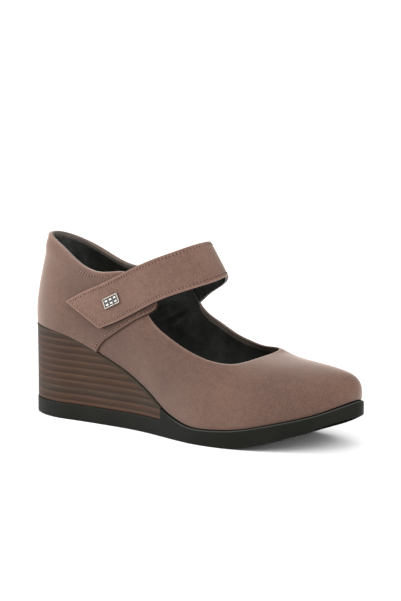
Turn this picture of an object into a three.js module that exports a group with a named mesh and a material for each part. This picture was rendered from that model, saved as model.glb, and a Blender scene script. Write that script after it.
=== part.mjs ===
// Wedge pump with a broad strap over the instep: a right shoe, standing empty on its sole.
// Millimetres, +X to the toe, +Y to the inner side, +Z up. The origin is on the floor under the heel seat.
import * as THREE from "three";
import { mergeVertices } from "three/addons/utils/BufferGeometryUtils.js";

// Driving dimensions
const length = 245; // sole, heel to toe
const ballWidth = 80; // sole, across the ball
const seatHeight = 58; // floor to the heel seat
const backHeight = 116; // floor to the top edge behind the heel
const outsoleThickness = 10.4;
const toeSpring = 22;
const wall = 1.7; // upper, leather and lining together
const overlay = 1; // quarter laid over the upper
const strapThickness = 2.4;
const insoleThickness = 2.5;
const gap = 0.3; // between pieces that meet
const welt = 1.5; // sole beyond the upper's foot
const heelCentre = 29; // heel back to the middle of the seat

// Sections of the sole from heel back to toe tip.
// along: share of length; outer, inner: shares of half the ball width;
// seat: share of the seat height; spring: share of the toe spring, held at the floor where it is below 0
const sections = [
  // along, outer, inner, seat, spring
  [0.0, 0.0, 0.0, 1.0, -0.01],
  [0.04, 0.48, 0.48, 0.998, -0.01],
  [0.125, 0.7, 0.7, 0.965, -0.01],
  [0.2, 0.7, 0.68, 0.892, -0.01],
  [0.28, 0.693, 0.65, 0.772, -0.01],
  [0.36, 0.703, 0.625, 0.635, -0.01],
  [0.41, 0.73, 0.625, 0.53, -0.01],
  [0.45, 0.77, 0.65, 0.44, -0.01],
  [0.5, 0.843, 0.71, 0.31, -0.01],
  [0.55, 0.918, 0.788, 0.226, -0.01],
  [0.6, 0.98, 0.875, 0.178, -0.01],
  [0.66, 1.003, 0.95, 0.172, -0.01],
  [0.74, 0.948, 0.985, 0.203, 0.03],
  [0.82, 0.843, 0.91, 0.276, 0.22],
  [0.9, 0.665, 0.732, 0.366, 0.53],
  [0.96, 0.42, 0.502, 0.455, 0.82],
  [1.0, -0.075, 0.075, 0.54, 1.0],
];

// Top edge of the upper, a row for each section and side, and how its wall gets there.
// x: share of length; y: share of half the ball width; z: share of the back height;
// rise and swell: up and out from the foot; drop and reach: down and out from the edge;
// rise and drop are shares of the back height, swell and reach shares of half the ball width
const outerEdge = [
  // x, y, z, rise, swell, drop, reach
  [0.041, 0, 1.0, 0.172, 0.038, 0.138, 0.038],
  [0.062, -0.29, 0.991, 0.172, 0.038, 0.138, 0.05],
  [0.126, -0.445, 0.94, 0.172, 0.05, 0.138, 0.125],
  [0.202, -0.6, 0.873, 0.164, 0.063, 0.129, 0.088],
  [0.282, -0.675, 0.836, 0.155, 0.063, 0.129, 0.05],
  [0.361, -0.7, 0.853, 0.155, 0.063, 0.129, 0.038],
  [0.404, -0.695, 0.793, 0.138, 0.05, 0.121, 0.038],
  [0.439, -0.68, 0.624, 0.129, 0.05, 0.103, 0.05],
  [0.498, -0.695, 0.529, 0.129, 0.038, 0.103, 0.063],
  [0.547, -0.7, 0.48, 0.129, 0.03, 0.095, 0.1],
  [0.594, -0.688, 0.444, 0.129, 0.03, 0.078, 0.15],
  [0.637, -0.65, 0.422, 0.138, 0.03, 0.052, 0.2],
  [0.676, -0.563, 0.413, 0.138, 0.038, 0.034, 0.2],
  [0.7, -0.413, 0.418, 0.138, 0.038, 0.026, 0.275],
  [0.717, -0.225, 0.433, 0.16, 0.06, 0.026, 0.475],
  [0.727, -0.063, 0.445, 0.168, 0.085, 0.03, 0.875],
  [0.735, 0.088, 0.455, 0.168, 0.105, 0.034, 1.325],
];
const innerEdge = [
  // x, y, z, rise, swell, drop, reach
  [0.041, 0, 1.0, 0.172, 0.038, 0.138, 0.038],
  [0.062, 0.3, 0.97, 0.172, 0.038, 0.138, 0.05],
  [0.118, 0.5, 0.904, 0.172, 0.05, 0.138, 0.125],
  [0.2, 0.583, 0.827, 0.164, 0.063, 0.129, 0.088],
  [0.282, 0.66, 0.812, 0.155, 0.063, 0.129, 0.05],
  [0.361, 0.683, 0.818, 0.155, 0.063, 0.129, 0.038],
  [0.404, 0.67, 0.759, 0.138, 0.05, 0.121, 0.038],
  [0.445, 0.675, 0.621, 0.129, 0.05, 0.103, 0.05],
  [0.5, 0.7, 0.545, 0.129, 0.038, 0.103, 0.063],
  [0.553, 0.7, 0.493, 0.129, 0.03, 0.095, 0.088],
  [0.6, 0.7, 0.464, 0.129, 0.03, 0.078, 0.125],
  [0.645, 0.658, 0.452, 0.138, 0.03, 0.052, 0.175],
  [0.69, 0.58, 0.457, 0.121, 0.038, 0.043, 0.15],
  [0.718, 0.475, 0.463, 0.121, 0.038, 0.043, 0.2],
  [0.735, 0.363, 0.466, 0.145, 0.06, 0.052, 0.35],
  [0.739, 0.225, 0.463, 0.158, 0.085, 0.052, 0.75],
];

// Quarter: its front edge on the outer side, the tab's own edges, and its front edge on the inner side.
// x: share of length; z: share of the back height
const outerSeam = [
  // x, z
  [0.271, 0.4],
  [0.284, 0.436],
  [0.302, 0.47],
  [0.339, 0.517],
  [0.371, 0.559],
  [0.405, 0.601],
  [0.441, 0.635],
  [0.455, 0.649],
  [0.469, 0.671],
  [0.476, 0.707],
];
const tabTop = [
  // x, z
  [0.367, 0.85],
  [0.4, 0.868],
  [0.43, 0.865],
  [0.45, 0.845],
  [0.468, 0.8],
  [0.476, 0.76],
];
const innerSeam = [
  // x, z
  [0.271, 0.4],
  [0.294, 0.466],
  [0.331, 0.52],
  [0.363, 0.58],
  [0.398, 0.65],
];

// Strap, a row for each place along it, from its free end on the outer side to its root on the inner side.
// The edges of its inner face as shares of length, the strap's half span and back height;
// bow: how far the middle stands out, a share of the half span
const strapRows = [
  // front x, front y, front z, rear x, rear y, rear z, bow
  [0.296, -0.733, 0.536, 0.184, -0.728, 0.661, 0.005],
  [0.329, -0.738, 0.563, 0.241, -0.733, 0.722, 0.008],
  [0.363, -0.743, 0.593, 0.302, -0.733, 0.776, 0.013],
  [0.424, -0.743, 0.657, 0.363, -0.738, 0.836, 0.015],
  [0.483, -0.738, 0.719, 0.422, -0.738, 0.896, 0.01],
  [0.529, -0.695, 0.758, 0.469, -0.68, 0.94, 0.005],
  [0.567, -0.575, 0.789, 0.508, -0.556, 0.975, 0],
  [0.593, -0.345, 0.814, 0.534, -0.345, 1.003, 0],
  [0.596, -0.057, 0.83, 0.538, -0.077, 1.012, 0],
  [0.576, 0.192, 0.824, 0.52, 0.182, 1.0, 0],
  [0.541, 0.402, 0.775, 0.478, 0.383, 0.955, 0.005],
  [0.477, 0.56, 0.707, 0.429, 0.537, 0.895, 0.01],
  [0.425, 0.7, 0.642, 0.38, 0.7, 0.835, 0.015],
  [0.379, 0.733, 0.583, 0.33, 0.733, 0.775, 0.015],
  [0.34, 0.733, 0.538, 0.29, 0.733, 0.73, 0.013],
];

// Finishes
function finish(name, color, roughness, metalness) {
  const material = new THREE.MeshStandardMaterial({ color, roughness, metalness });
  material.name = name;
  return material;
}
const nubuck = finish("nubuck", 0x897166, 0.9, 0);
const stack = finish("stacked_leather", 0x5f5249, 0.7, 0);
const rubber = finish("rubber", 0x33332f, 0.6, 0);
const lining = finish("lining", 0x1b1918, 0.6, 0);
const silver = finish("silver", 0xc8c8c4, 0.3, 1);
const darkEnamel = finish("enamel", 0x2a2b30, 0.35, 0.2);

// Smooth curve through a list of values, one unit of s apart, round a loop or from end to end
function curveThrough(values, closed) {
  const count = values.length;
  const wrap = (i) => (closed ? (i + count) % count : Math.min(Math.max(i, 0), count - 1));
  const bend = values.map(() => 0);
  const first = closed ? 0 : 1;
  const last = closed ? count : count - 1;
  for (let pass = 0; pass < 60; pass++) {
    for (let i = first; i < last; i++) {
      const kink = values[wrap(i - 1)] - 2 * values[i] + values[wrap(i + 1)];
      bend[i] = (6 * kink - bend[wrap(i - 1)] - bend[wrap(i + 1)]) / 4;
    }
  }
  return (s) => {
    const low = closed ? Math.floor(s) : Math.min(Math.max(Math.floor(s), 0), count - 2);
    const b = s - low;
    const a = 1 - b;
    const here = wrap(low);
    const next = wrap(low + 1);
    const straight = a * values[here] + b * values[next];
    return straight + ((a ** 3 - a) * bend[here] + (b ** 3 - b) * bend[next]) / 6;
  };
}

// Height read off an edge table at x, by short smooth steps between its rows
function heightOn(table, x) {
  const share = x / length;
  const last = table.length - 1;
  let i = 0;
  while (i < last - 1 && share > table[i + 1][0]) i++;
  const [x0, z0] = table[i];
  const [x1, z1] = table[i + 1];
  const part = THREE.MathUtils.clamp((share - x0) / (x1 - x0), 0, 1);
  return (z0 + (z1 - z0) * part) * backHeight;
}

// Sole outline: s runs from 0 at the heel along the outer side to the toe, and back along the inner side
const halfBall = ballWidth / 2;
const toe = sections.length - 1;
const around = 2 * toe;
const outerRows = sections.map((row) => [row[0], -row[1], row[3], row[4]]);
const innerRows = sections.slice(1, toe).reverse().map((row) => [row[0], row[2], row[3], row[4]]);
const loopRows = [...outerRows, ...innerRows];
const outlineX = curveThrough(loopRows.map((row) => row[0] * length), true);
const outlineY = curveThrough(loopRows.map((row) => row[1] * halfBall), true);
const seatCurve = curveThrough(loopRows.map((row) => row[2] * seatHeight), true);
const springCurve = curveThrough(loopRows.map((row) => row[3] * toeSpring), true);
const floorCurve = (s) => Math.max(springCurve(s), 0);

function outlineNormal(s) {
  const step = 0.02;
  const dx = outlineX(s + step) - outlineX(s - step);
  const dy = outlineY(s + step) - outlineY(s - step);
  return new THREE.Vector3(dy, -dx, 0).normalize();
}

function outlinePoint(s, inset, z) {
  const point = new THREE.Vector3(outlineX(s), outlineY(s), z);
  return point.addScaledVector(outlineNormal(s), -inset);
}

// Station on the outer side of the sole at a distance from the heel back
function stationAt(x) {
  let low = 0;
  let high = toe;
  for (let i = 0; i < 30; i++) {
    const middle = (low + high) / 2;
    if (outlineX(middle) < x) low = middle;
    else high = middle;
  }
  return low;
}

// Ribs of the upper: four control points from its foot on the sole to its top edge
const edgeRows = [...outerEdge, ...innerEdge.slice(1).reverse()];
const leanOut = 8; // pull of the sole's own direction on each rib's lean
const ribs = edgeRows.map(([x, y, z, rise, swell, drop, reach], s) => {
  const foot = outlinePoint(s, welt, seatCurve(s) + gap);
  const edge = new THREE.Vector3(x * length, y * halfBall, z * backHeight);
  const out = foot.clone().sub(edge).setZ(0).addScaledVector(outlineNormal(s), leanOut).normalize();
  const lower = foot.clone().addScaledVector(out, swell * halfBall).setZ(foot.z + rise * backHeight);
  const upper = edge.clone().addScaledVector(out, reach * halfBall).setZ(edge.z - drop * backHeight);
  return [foot, lower, upper, edge];
});
const ribCurves = [0, 1, 2, 3].map((i) =>
  ["x", "y", "z"].map((axis) => curveThrough(ribs.map((rib) => rib[i][axis]), true)),
);

// Outer face of the upper: t runs from 0 at the foot to 1 at the top edge, and on straight up past it
const tabRise = 60;
const tabLean = 0.06;
function outerFace(s, t) {
  const inside = Math.min(t, 1);
  const back = 1 - inside;
  const weights = [back ** 3, 3 * back ** 2 * inside, 3 * back * inside ** 2, inside ** 3];
  const [x, y, z] = [0, 1, 2].map((axis) =>
    weights.reduce((sum, weight, i) => sum + weight * ribCurves[i][axis](s), 0),
  );
  const beyond = Math.max(t - 1, 0) * tabRise;
  return new THREE.Vector3(x, y - Math.sign(y) * beyond * tabLean, z + beyond);
}

function faceNormal(s, t) {
  const step = 0.01;
  const along = outerFace(s + step, t).sub(outerFace(s - step, t));
  const low = Math.max(t - step, 0);
  const up = outerFace(s, low + 2 * step).sub(outerFace(s, low));
  return along.cross(up).normalize();
}

function offsetFace(s, t, distance) {
  return outerFace(s, t).addScaledVector(faceNormal(s, t), distance);
}

// t at which the outer face of a rib reaches a height
function reachOf(s, z) {
  let low = 0;
  let high = 2;
  for (let i = 0; i < 30; i++) {
    const middle = (low + high) / 2;
    if (outerFace(s, middle).z < z) low = middle;
    else high = middle;
  }
  return low;
}

const leastWidth = 0.1; // an end narrower than this counts as an edge
const weldWithin = 1e-3;

// Closed mesh from loops of points laid one after another. Unless it runs round, its blunt ends are capped;
// an end that comes to an upright edge closes by itself
function skinned(loops, runsRound) {
  const size = loops[0].length;
  const positions = loops.flat().flatMap((point) => point.toArray());
  const faces = [];
  const quad = (a, b, c, d) => faces.push([a, b, c], [a, c, d]);
  const count = runsRound ? loops.length : loops.length - 1;
  for (let i = 0; i < count; i++) {
    const here = i * size;
    const next = ((i + 1) % loops.length) * size;
    for (let j = 0; j < size; j++) {
      const k = (j + 1) % size;
      quad(here + j, here + k, next + k, next + j);
    }
  }
  const ends = runsRound ? [] : [0, loops.length - 1];
  for (const end of ends.filter((i) => isBlunt(loops[i]))) {
    const base = end * size;
    for (let j = 0; j < size / 2 - 1; j++) {
      const [a, b, c, d] = [base + j, base + size - 1 - j, base + size - 2 - j, base + j + 1];
      if (end === 0) quad(a, b, c, d);
      else quad(d, c, b, a);
    }
  }
  return welded(positions, faces);
}

function isBlunt(loop) {
  const box = new THREE.Box3().setFromPoints(loop);
  return box.max.y - box.min.y > leastWidth;
}

function welded(positions, faces) {
  const loose = new THREE.BufferGeometry();
  loose.setAttribute("position", new THREE.Float32BufferAttribute(positions, 3));
  loose.setIndex(faces.flat());
  const merged = mergeVertices(loose, weldWithin);
  const index = merged.getIndex().array;
  const kept = [];
  for (let i = 0; i < index.length; i += 3) {
    const [a, b, c] = [index[i], index[i + 1], index[i + 2]];
    if (a !== b && b !== c && c !== a) kept.push(a, b, c);
  }
  merged.setIndex(outward(merged.getAttribute("position"), kept));
  merged.computeVertexNormals();
  return merged;
}

// The same triangles, turned over if they enclose a negative volume
function outward(position, index) {
  const corner = (i) => new THREE.Vector3().fromBufferAttribute(position, index[i]);
  let volume = 0;
  for (let i = 0; i < index.length; i += 3) {
    volume += corner(i).dot(corner(i + 1).cross(corner(i + 2)));
  }
  if (volume > 0) return index;
  return index.map((value, i) => index[i - (i % 3) + 2 - (i % 3)]);
}

function named(name, geometry, material) {
  const mesh = new THREE.Mesh(geometry, material);
  mesh.name = name;
  return mesh;
}

function spread(from, to, steps) {
  return Array.from({ length: steps + 1 }, (_, i) => from + (to - from) * i / steps);
}

// Slice of a sole piece at a station: across its top, down one side, across its bottom, up the other.
// sides: rows of inset, the face it is measured from (0 bottom, 1 top) and millimetres up from that face
const acrossSteps = 4;
function soleSlice(s, bottom, top, sides) {
  const side = (station) => sides.map(([inset, face, up]) =>
    outlinePoint(station, inset, bottom + (top - bottom) * face + up),
  );
  const near = side(s);
  const far = side(around - s);
  const across = (from, to) => spread(0, 1, acrossSteps).slice(1, -1).map((part) => from.clone().lerp(to, part));
  return [
    ...near,
    ...across(near[near.length - 1], far[far.length - 1]),
    ...[...far].reverse(),
    ...across(far[0], near[0]),
  ];
}

// Outsole: a flat band under the wedge, rising to the upper's foot in front of it, turned up at the toe
const wedgeEnd = 0.5 * length;
const treadRound = 2; // lower edge of the outsole
const lipRound = 0.6; // its upper edge
const outsoleSides = [
  // inset, face, up
  [0.8 * treadRound, 0, 0],
  [0.2 * treadRound, 0, 0.4 * treadRound],
  [0, 0, treadRound],
  [0, 1, -2 * lipRound],
  [lipRound, 1, 0],
];
const stepSlope = 0.3; // the step leans by this, so that its face is no sheer cut
function buildOutsole() {
  const step = stationAt(wedgeEnd);
  const slice = (s, top) => soleSlice(s, floorCurve(s), top, outsoleSides);
  const rear = spread(0, step, 22).map((s) => slice(s, outsoleThickness));
  const front = spread(stationAt(wedgeEnd + stepSlope), toe, 24).map((s) => slice(s, seatCurve(s)));
  return skinned([...rear, ...front], false);
}

// Wedge: fills from the outsole's flat band to the seat, and ends in a low front face
const wedgeFoot = 0.3; // inset at its foot
const wedgeHead = 0.1; // inset at its top
const wedgeRound = 0.4;
const wedgeSides = [
  // inset, face, up
  [wedgeFoot + wedgeRound, 0, 0],
  [wedgeFoot, 0, wedgeRound],
  [wedgeHead, 1, -wedgeRound],
  [wedgeHead + wedgeRound, 1, 0],
];
function buildWedge() {
  const low = outsoleThickness + gap;
  const end = stationAt(wedgeEnd - gap);
  const slice = (s) => soleSlice(s, low, seatCurve(s), wedgeSides);
  return skinned(spread(0, end, 26).map(slice), false);
}

// Insole: lies on the seat inside the upper's wall
const insoleInset = welt + wall + 2 * gap;
const insoleRound = 0.7;
const insoleSides = [
  // inset, face, up
  [insoleInset + insoleRound / 2, 0, 0],
  [insoleInset, 0, insoleRound],
  [insoleInset, 1, -insoleRound],
  [insoleInset + insoleRound, 1, 0],
];
function buildInsole() {
  const slice = (s) => {
    const low = seatCurve(s) + gap;
    return soleSlice(s, low, low + insoleThickness, insoleSides);
  };
  return skinned(spread(0, toe, 36).map(slice), false);
}

// Upper: one wall from its foot round the top edge and down inside
const upperColumns = 80;
const faceSteps = 11;
function wallSlice(s) {
  const steps = spread(0, 1, faceSteps);
  const outside = steps.map((t) => offsetFace(s, t, 0));
  const footNormal = outlineNormal(s);
  const insideFoot = outside[0].clone().addScaledVector(footNormal, -wall);
  const inside = steps.slice(1).map((t) => offsetFace(s, t, -wall));
  const rimTangent = outerFace(s, 1).sub(outerFace(s, 0.99)).normalize();
  const rim = [0.2, 0.5, 0.8].map((part) => {
    const arch = Math.sin(part * Math.PI) * wall / 2;
    return offsetFace(s, 1, -wall * part).addScaledVector(rimTangent, arch);
  });
  return [...outside, ...rim, ...inside.reverse(), insideFoot];
}
function buildUpper() {
  const stations = spread(0, around, upperColumns).slice(0, -1);
  return skinned(stations.map(wallSlice), true);
}

// Quarter: an outer layer round the heel, with a tab under the strap on the outer side
const quarterGap = 0.45;
const quarterInset = 1.2;
const quarterSteps = 6;
const seamStart = outerSeam[0][0] * length;
const tabEnd = outerSeam[outerSeam.length - 1][0] * length;
const innerEnd = innerSeam[innerSeam.length - 1][0] * length;
function quarterReach(s) {
  const onOuter = s < toe;
  const x = outerFace(s, 0.5).x;
  const seam = onOuter ? outerSeam : innerSeam;
  const low = x > seamStart ? reachOf(s, heightOn(seam, x)) : 0.02;
  const edge = reachOf(s, outerFace(s, 1).z - quarterInset);
  const tab = tabTop[0][0] * length;
  const high = onOuter && x > tab ? reachOf(s, heightOn(tabTop, x)) : edge;
  return [low, high];
}
function quarterSlice(s) {
  const [low, high] = quarterReach(s);
  const steps = spread(low, high, quarterSteps);
  const outside = steps.map((t) => offsetFace(s, t, quarterGap + overlay));
  const inside = steps.map((t) => offsetFace(s, t, quarterGap));
  return [...outside, ...inside.reverse()];
}
function buildQuarter() {
  const from = stationAt(tabEnd);
  const to = stationAt(innerEnd);
  const outer = spread(from, 0, 26).slice(0, -1);
  const inner = spread(around, around - to, 22);
  return skinned([...outer, ...inner].map(quarterSlice), false);
}

// Strap: a broad band from the outer side over the instep to the inner side
const strapSteps = 42;
const strapAcross = 4;
const strapHalfSpan = halfBall + quarterGap + overlay + gap;
const strapScale = [length, strapHalfSpan, backHeight, length, strapHalfSpan, backHeight, strapHalfSpan];
const strapCurves = strapScale.map((scale, i) => curveThrough(strapRows.map((row) => row[i] * scale), false));
function strapFace(s, part) {
  const [frontX, frontY, frontZ, rearX, rearY, rearZ, bow] = strapCurves.map((curve) => curve(s));
  const front = new THREE.Vector3(frontX, frontY, frontZ);
  const rear = new THREE.Vector3(rearX, rearY, rearZ);
  const point = front.lerp(rear, part);
  return point.setY(point.y + Math.sign(point.y) * bow * 4 * part * (1 - part));
}
function strapNormal(s, part) {
  const step = 0.02;
  const along = strapFace(s + step, part).sub(strapFace(s - step, part));
  const across = strapFace(s, part + step).sub(strapFace(s, part - step));
  return along.cross(across).normalize();
}
function strapPoint(s, part, height) {
  return strapFace(s, part).addScaledVector(strapNormal(s, part), height);
}
function strapSlice(s) {
  const parts = spread(0, 1, strapAcross);
  const top = parts.map((part) => strapPoint(s, 0.02 + 0.96 * part, strapThickness));
  const bottom = parts.map((part) => strapPoint(s, 0.02 + 0.96 * part, 0));
  const front = strapPoint(s, 0, strapThickness / 2);
  const rear = strapPoint(s, 1, strapThickness / 2);
  return [front, ...top, rear, ...bottom.reverse()];
}
function buildStrap() {
  return skinned(spread(0, strapRows.length - 1, strapSteps).map(strapSlice), false);
}

// Ornament: a frame and a studded plate on the strap's outer face
const ornamentWidth = 13.2;
const ornamentHeight = 6.6;
const frameBorder = 0.9;
const frameThickness = 1.3;
const plateThickness = 0.6;
const studRows = 2;
const studColumns = 3;
const studHeight = 0.6;

function buildFrame() {
  const shape = new THREE.Shape();
  const box = (path, width, height) => {
    path.moveTo(-width / 2, -height / 2);
    path.lineTo(width / 2, -height / 2);
    path.lineTo(width / 2, height / 2);
    path.lineTo(-width / 2, height / 2);
    path.closePath();
    return path;
  };
  box(shape, ornamentWidth, ornamentHeight);
  const hole = box(new THREE.Path(), ornamentWidth - 2 * frameBorder, ornamentHeight - 2 * frameBorder);
  shape.holes.push(hole);
  const geometry = new THREE.ExtrudeGeometry(shape, { depth: frameThickness, bevelEnabled: false });
  geometry.deleteAttribute("normal");
  geometry.deleteAttribute("uv");
  return mergeVertices(geometry);
}

// Plate: a grid of small pyramids over a flat back
function buildPlate() {
  const width = ornamentWidth - 2 * (frameBorder + gap);
  const height = ornamentHeight - 2 * (frameBorder + gap);
  const columns = 2 * studColumns;
  const rows = 2 * studRows;
  const level = (i, j) => (i % 2 === 1 && j % 2 === 1 ? plateThickness + studHeight : plateThickness);
  const loops = spread(0, 1, columns).map((across, i) => {
    const x = (across - 0.5) * width;
    const top = spread(0, 1, rows).map((up, j) => new THREE.Vector3(x, (up - 0.5) * height, level(i, j)));
    const back = top.map((point) => point.clone().setZ(0)).reverse();
    return [...top, ...back];
  });
  return skinned(loops, false);
}

// Where the ornament stands on the strap
const ornamentAlong = 2.21;
const ornamentAcross = 0.5;
function placeOnStrap(mesh, lift) {
  const normal = strapNormal(ornamentAlong, ornamentAcross);
  const ahead = strapFace(ornamentAlong + 0.4, ornamentAcross).sub(strapFace(ornamentAlong - 0.4, ornamentAcross));
  const right = ahead.addScaledVector(normal, -ahead.dot(normal)).normalize();
  const up = normal.clone().cross(right);
  mesh.quaternion.setFromRotationMatrix(new THREE.Matrix4().makeBasis(right, up, normal));
  mesh.position.copy(strapPoint(ornamentAlong, ornamentAcross, strapThickness + lift));
  return mesh;
}

const shoe = new THREE.Group();
shoe.position.x = -heelCentre;
shoe.add(named("outsole", buildOutsole(), rubber));
shoe.add(named("wedge", buildWedge(), stack));
shoe.add(named("insole", buildInsole(), lining));
shoe.add(named("upper", buildUpper(), nubuck));
shoe.add(named("quarter", buildQuarter(), nubuck));
shoe.add(named("strap", buildStrap(), nubuck));
shoe.add(placeOnStrap(named("ornament_frame", buildFrame(), silver), gap));
shoe.add(placeOnStrap(named("ornament_plate", buildPlate(), darkEnamel), gap));

export default shoe;
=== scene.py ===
import math

import bmesh
import bpy
import numpy as np
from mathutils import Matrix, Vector


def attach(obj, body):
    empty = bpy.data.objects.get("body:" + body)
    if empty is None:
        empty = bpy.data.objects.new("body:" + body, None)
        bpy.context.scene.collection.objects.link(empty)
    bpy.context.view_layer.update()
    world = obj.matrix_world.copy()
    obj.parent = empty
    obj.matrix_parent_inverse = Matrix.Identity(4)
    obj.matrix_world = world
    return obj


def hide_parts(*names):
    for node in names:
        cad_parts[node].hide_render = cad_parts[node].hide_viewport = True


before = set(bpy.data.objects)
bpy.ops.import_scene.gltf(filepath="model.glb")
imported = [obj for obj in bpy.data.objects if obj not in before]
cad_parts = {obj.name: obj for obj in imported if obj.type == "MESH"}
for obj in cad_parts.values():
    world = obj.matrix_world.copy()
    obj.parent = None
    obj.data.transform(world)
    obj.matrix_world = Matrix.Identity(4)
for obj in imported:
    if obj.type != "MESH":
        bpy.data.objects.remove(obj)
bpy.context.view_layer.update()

# Wedge pump with a broad strap, a right shoe. Metres, +X to the toe, +Y to the inner side, +Z up.
# The shapes follow the same tables as the CAD solids; everything here is finish and fine form on them.
mm = 0.001
shoe = {
    "length": 245 * mm,
    "ballWidth": 80 * mm,
    "seatHeight": 58 * mm,
    "backHeight": 116 * mm,
    "outsoleThickness": 10.4 * mm,
    "toeSpring": 22 * mm,
    "wall": 1.7 * mm,
    "overlay": 1.0 * mm,
    "gap": 0.3 * mm,
    "quarterGap": 0.45 * mm,
    "welt": 1.5 * mm,
    "heelCentre": 29 * mm,  # heel back to the frame's origin
}
bodyName = "root"
fineness = 1.0

# Sole sections: along, outer, inner, seat, spring
sections = [
    [0.0, 0.0, 0.0, 1.0, -0.01],
    [0.04, 0.48, 0.48, 0.998, -0.01],
    [0.125, 0.7, 0.7, 0.965, -0.01],
    [0.2, 0.7, 0.68, 0.892, -0.01],
    [0.28, 0.693, 0.65, 0.772, -0.01],
    [0.36, 0.703, 0.625, 0.635, -0.01],
    [0.41, 0.73, 0.625, 0.53, -0.01],
    [0.45, 0.77, 0.65, 0.44, -0.01],
    [0.5, 0.843, 0.71, 0.31, -0.01],
    [0.55, 0.918, 0.788, 0.226, -0.01],
    [0.6, 0.98, 0.875, 0.178, -0.01],
    [0.66, 1.003, 0.95, 0.172, -0.01],
    [0.74, 0.948, 0.985, 0.203, 0.03],
    [0.82, 0.843, 0.91, 0.276, 0.22],
    [0.9, 0.665, 0.732, 0.366, 0.53],
    [0.96, 0.42, 0.502, 0.455, 0.82],
    [1.0, -0.075, 0.075, 0.54, 1.0],
]

# Top edge of the upper: x, y, z, rise, swell, drop and reach, all as shares
outerEdge = [
    [0.041, 0, 1.0, 0.172, 0.038, 0.138, 0.038],
    [0.062, -0.29, 0.991, 0.172, 0.038, 0.138, 0.05],
    [0.126, -0.445, 0.94, 0.172, 0.05, 0.138, 0.125],
    [0.202, -0.6, 0.873, 0.164, 0.063, 0.129, 0.088],
    [0.282, -0.675, 0.836, 0.155, 0.063, 0.129, 0.05],
    [0.361, -0.7, 0.853, 0.155, 0.063, 0.129, 0.038],
    [0.404, -0.695, 0.793, 0.138, 0.05, 0.121, 0.038],
    [0.439, -0.68, 0.624, 0.129, 0.05, 0.103, 0.05],
    [0.498, -0.695, 0.529, 0.129, 0.038, 0.103, 0.063],
    [0.547, -0.7, 0.48, 0.129, 0.03, 0.095, 0.1],
    [0.594, -0.688, 0.444, 0.129, 0.03, 0.078, 0.15],
    [0.637, -0.65, 0.422, 0.138, 0.03, 0.052, 0.2],
    [0.676, -0.563, 0.413, 0.138, 0.038, 0.034, 0.2],
    [0.7, -0.413, 0.418, 0.138, 0.038, 0.026, 0.275],
    [0.717, -0.225, 0.433, 0.16, 0.06, 0.026, 0.475],
    [0.727, -0.063, 0.445, 0.168, 0.085, 0.03, 0.875],
    [0.735, 0.088, 0.455, 0.168, 0.105, 0.034, 1.325],
]
innerEdge = [
    [0.041, 0, 1.0, 0.172, 0.038, 0.138, 0.038],
    [0.062, 0.3, 0.97, 0.172, 0.038, 0.138, 0.05],
    [0.118, 0.5, 0.904, 0.172, 0.05, 0.138, 0.125],
    [0.2, 0.583, 0.827, 0.164, 0.063, 0.129, 0.088],
    [0.282, 0.66, 0.812, 0.155, 0.063, 0.129, 0.05],
    [0.361, 0.683, 0.818, 0.155, 0.063, 0.129, 0.038],
    [0.404, 0.67, 0.759, 0.138, 0.05, 0.121, 0.038],
    [0.445, 0.675, 0.621, 0.129, 0.05, 0.103, 0.05],
    [0.5, 0.7, 0.545, 0.129, 0.038, 0.103, 0.063],
    [0.553, 0.7, 0.493, 0.129, 0.03, 0.095, 0.088],
    [0.6, 0.7, 0.464, 0.129, 0.03, 0.078, 0.125],
    [0.645, 0.658, 0.452, 0.138, 0.03, 0.052, 0.175],
    [0.69, 0.58, 0.457, 0.121, 0.038, 0.043, 0.15],
    [0.718, 0.475, 0.463, 0.121, 0.038, 0.043, 0.2],
    [0.735, 0.363, 0.466, 0.145, 0.06, 0.052, 0.35],
    [0.739, 0.225, 0.463, 0.158, 0.085, 0.052, 0.75],
]

# Quarter edges, x and z as shares of the length and the back height
outerSeam = [
    [0.271, 0.4],
    [0.284, 0.436],
    [0.302, 0.47],
    [0.339, 0.517],
    [0.371, 0.559],
    [0.405, 0.601],
    [0.441, 0.635],
    [0.455, 0.649],
    [0.469, 0.671],
    [0.476, 0.707],
]
tabTop = [[0.367, 0.85], [0.4, 0.868], [0.43, 0.865], [0.45, 0.845], [0.468, 0.8], [0.476, 0.76]]
innerSeam = [[0.271, 0.4], [0.294, 0.466], [0.331, 0.52], [0.363, 0.58], [0.398, 0.65]]

# Strap: front edge x, y, z, rear edge x, y, z and bow, all as shares
strapRows = [
    [0.296, -0.733, 0.536, 0.184, -0.728, 0.661, 0.005],
    [0.329, -0.738, 0.563, 0.241, -0.733, 0.722, 0.008],
    [0.363, -0.743, 0.593, 0.302, -0.733, 0.776, 0.013],
    [0.424, -0.743, 0.657, 0.363, -0.738, 0.836, 0.015],
    [0.483, -0.738, 0.719, 0.422, -0.738, 0.896, 0.01],
    [0.529, -0.695, 0.758, 0.469, -0.68, 0.94, 0.005],
    [0.567, -0.575, 0.789, 0.508, -0.556, 0.975, 0],
    [0.593, -0.345, 0.814, 0.534, -0.345, 1.003, 0],
    [0.596, -0.057, 0.83, 0.538, -0.077, 1.012, 0],
    [0.576, 0.192, 0.824, 0.52, 0.182, 1.0, 0],
    [0.541, 0.402, 0.775, 0.478, 0.383, 0.955, 0.005],
    [0.477, 0.56, 0.707, 0.429, 0.537, 0.895, 0.01],
    [0.425, 0.7, 0.642, 0.38, 0.7, 0.835, 0.015],
    [0.379, 0.733, 0.583, 0.33, 0.733, 0.775, 0.015],
    [0.34, 0.733, 0.538, 0.29, 0.733, 0.73, 0.013],
]


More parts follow.
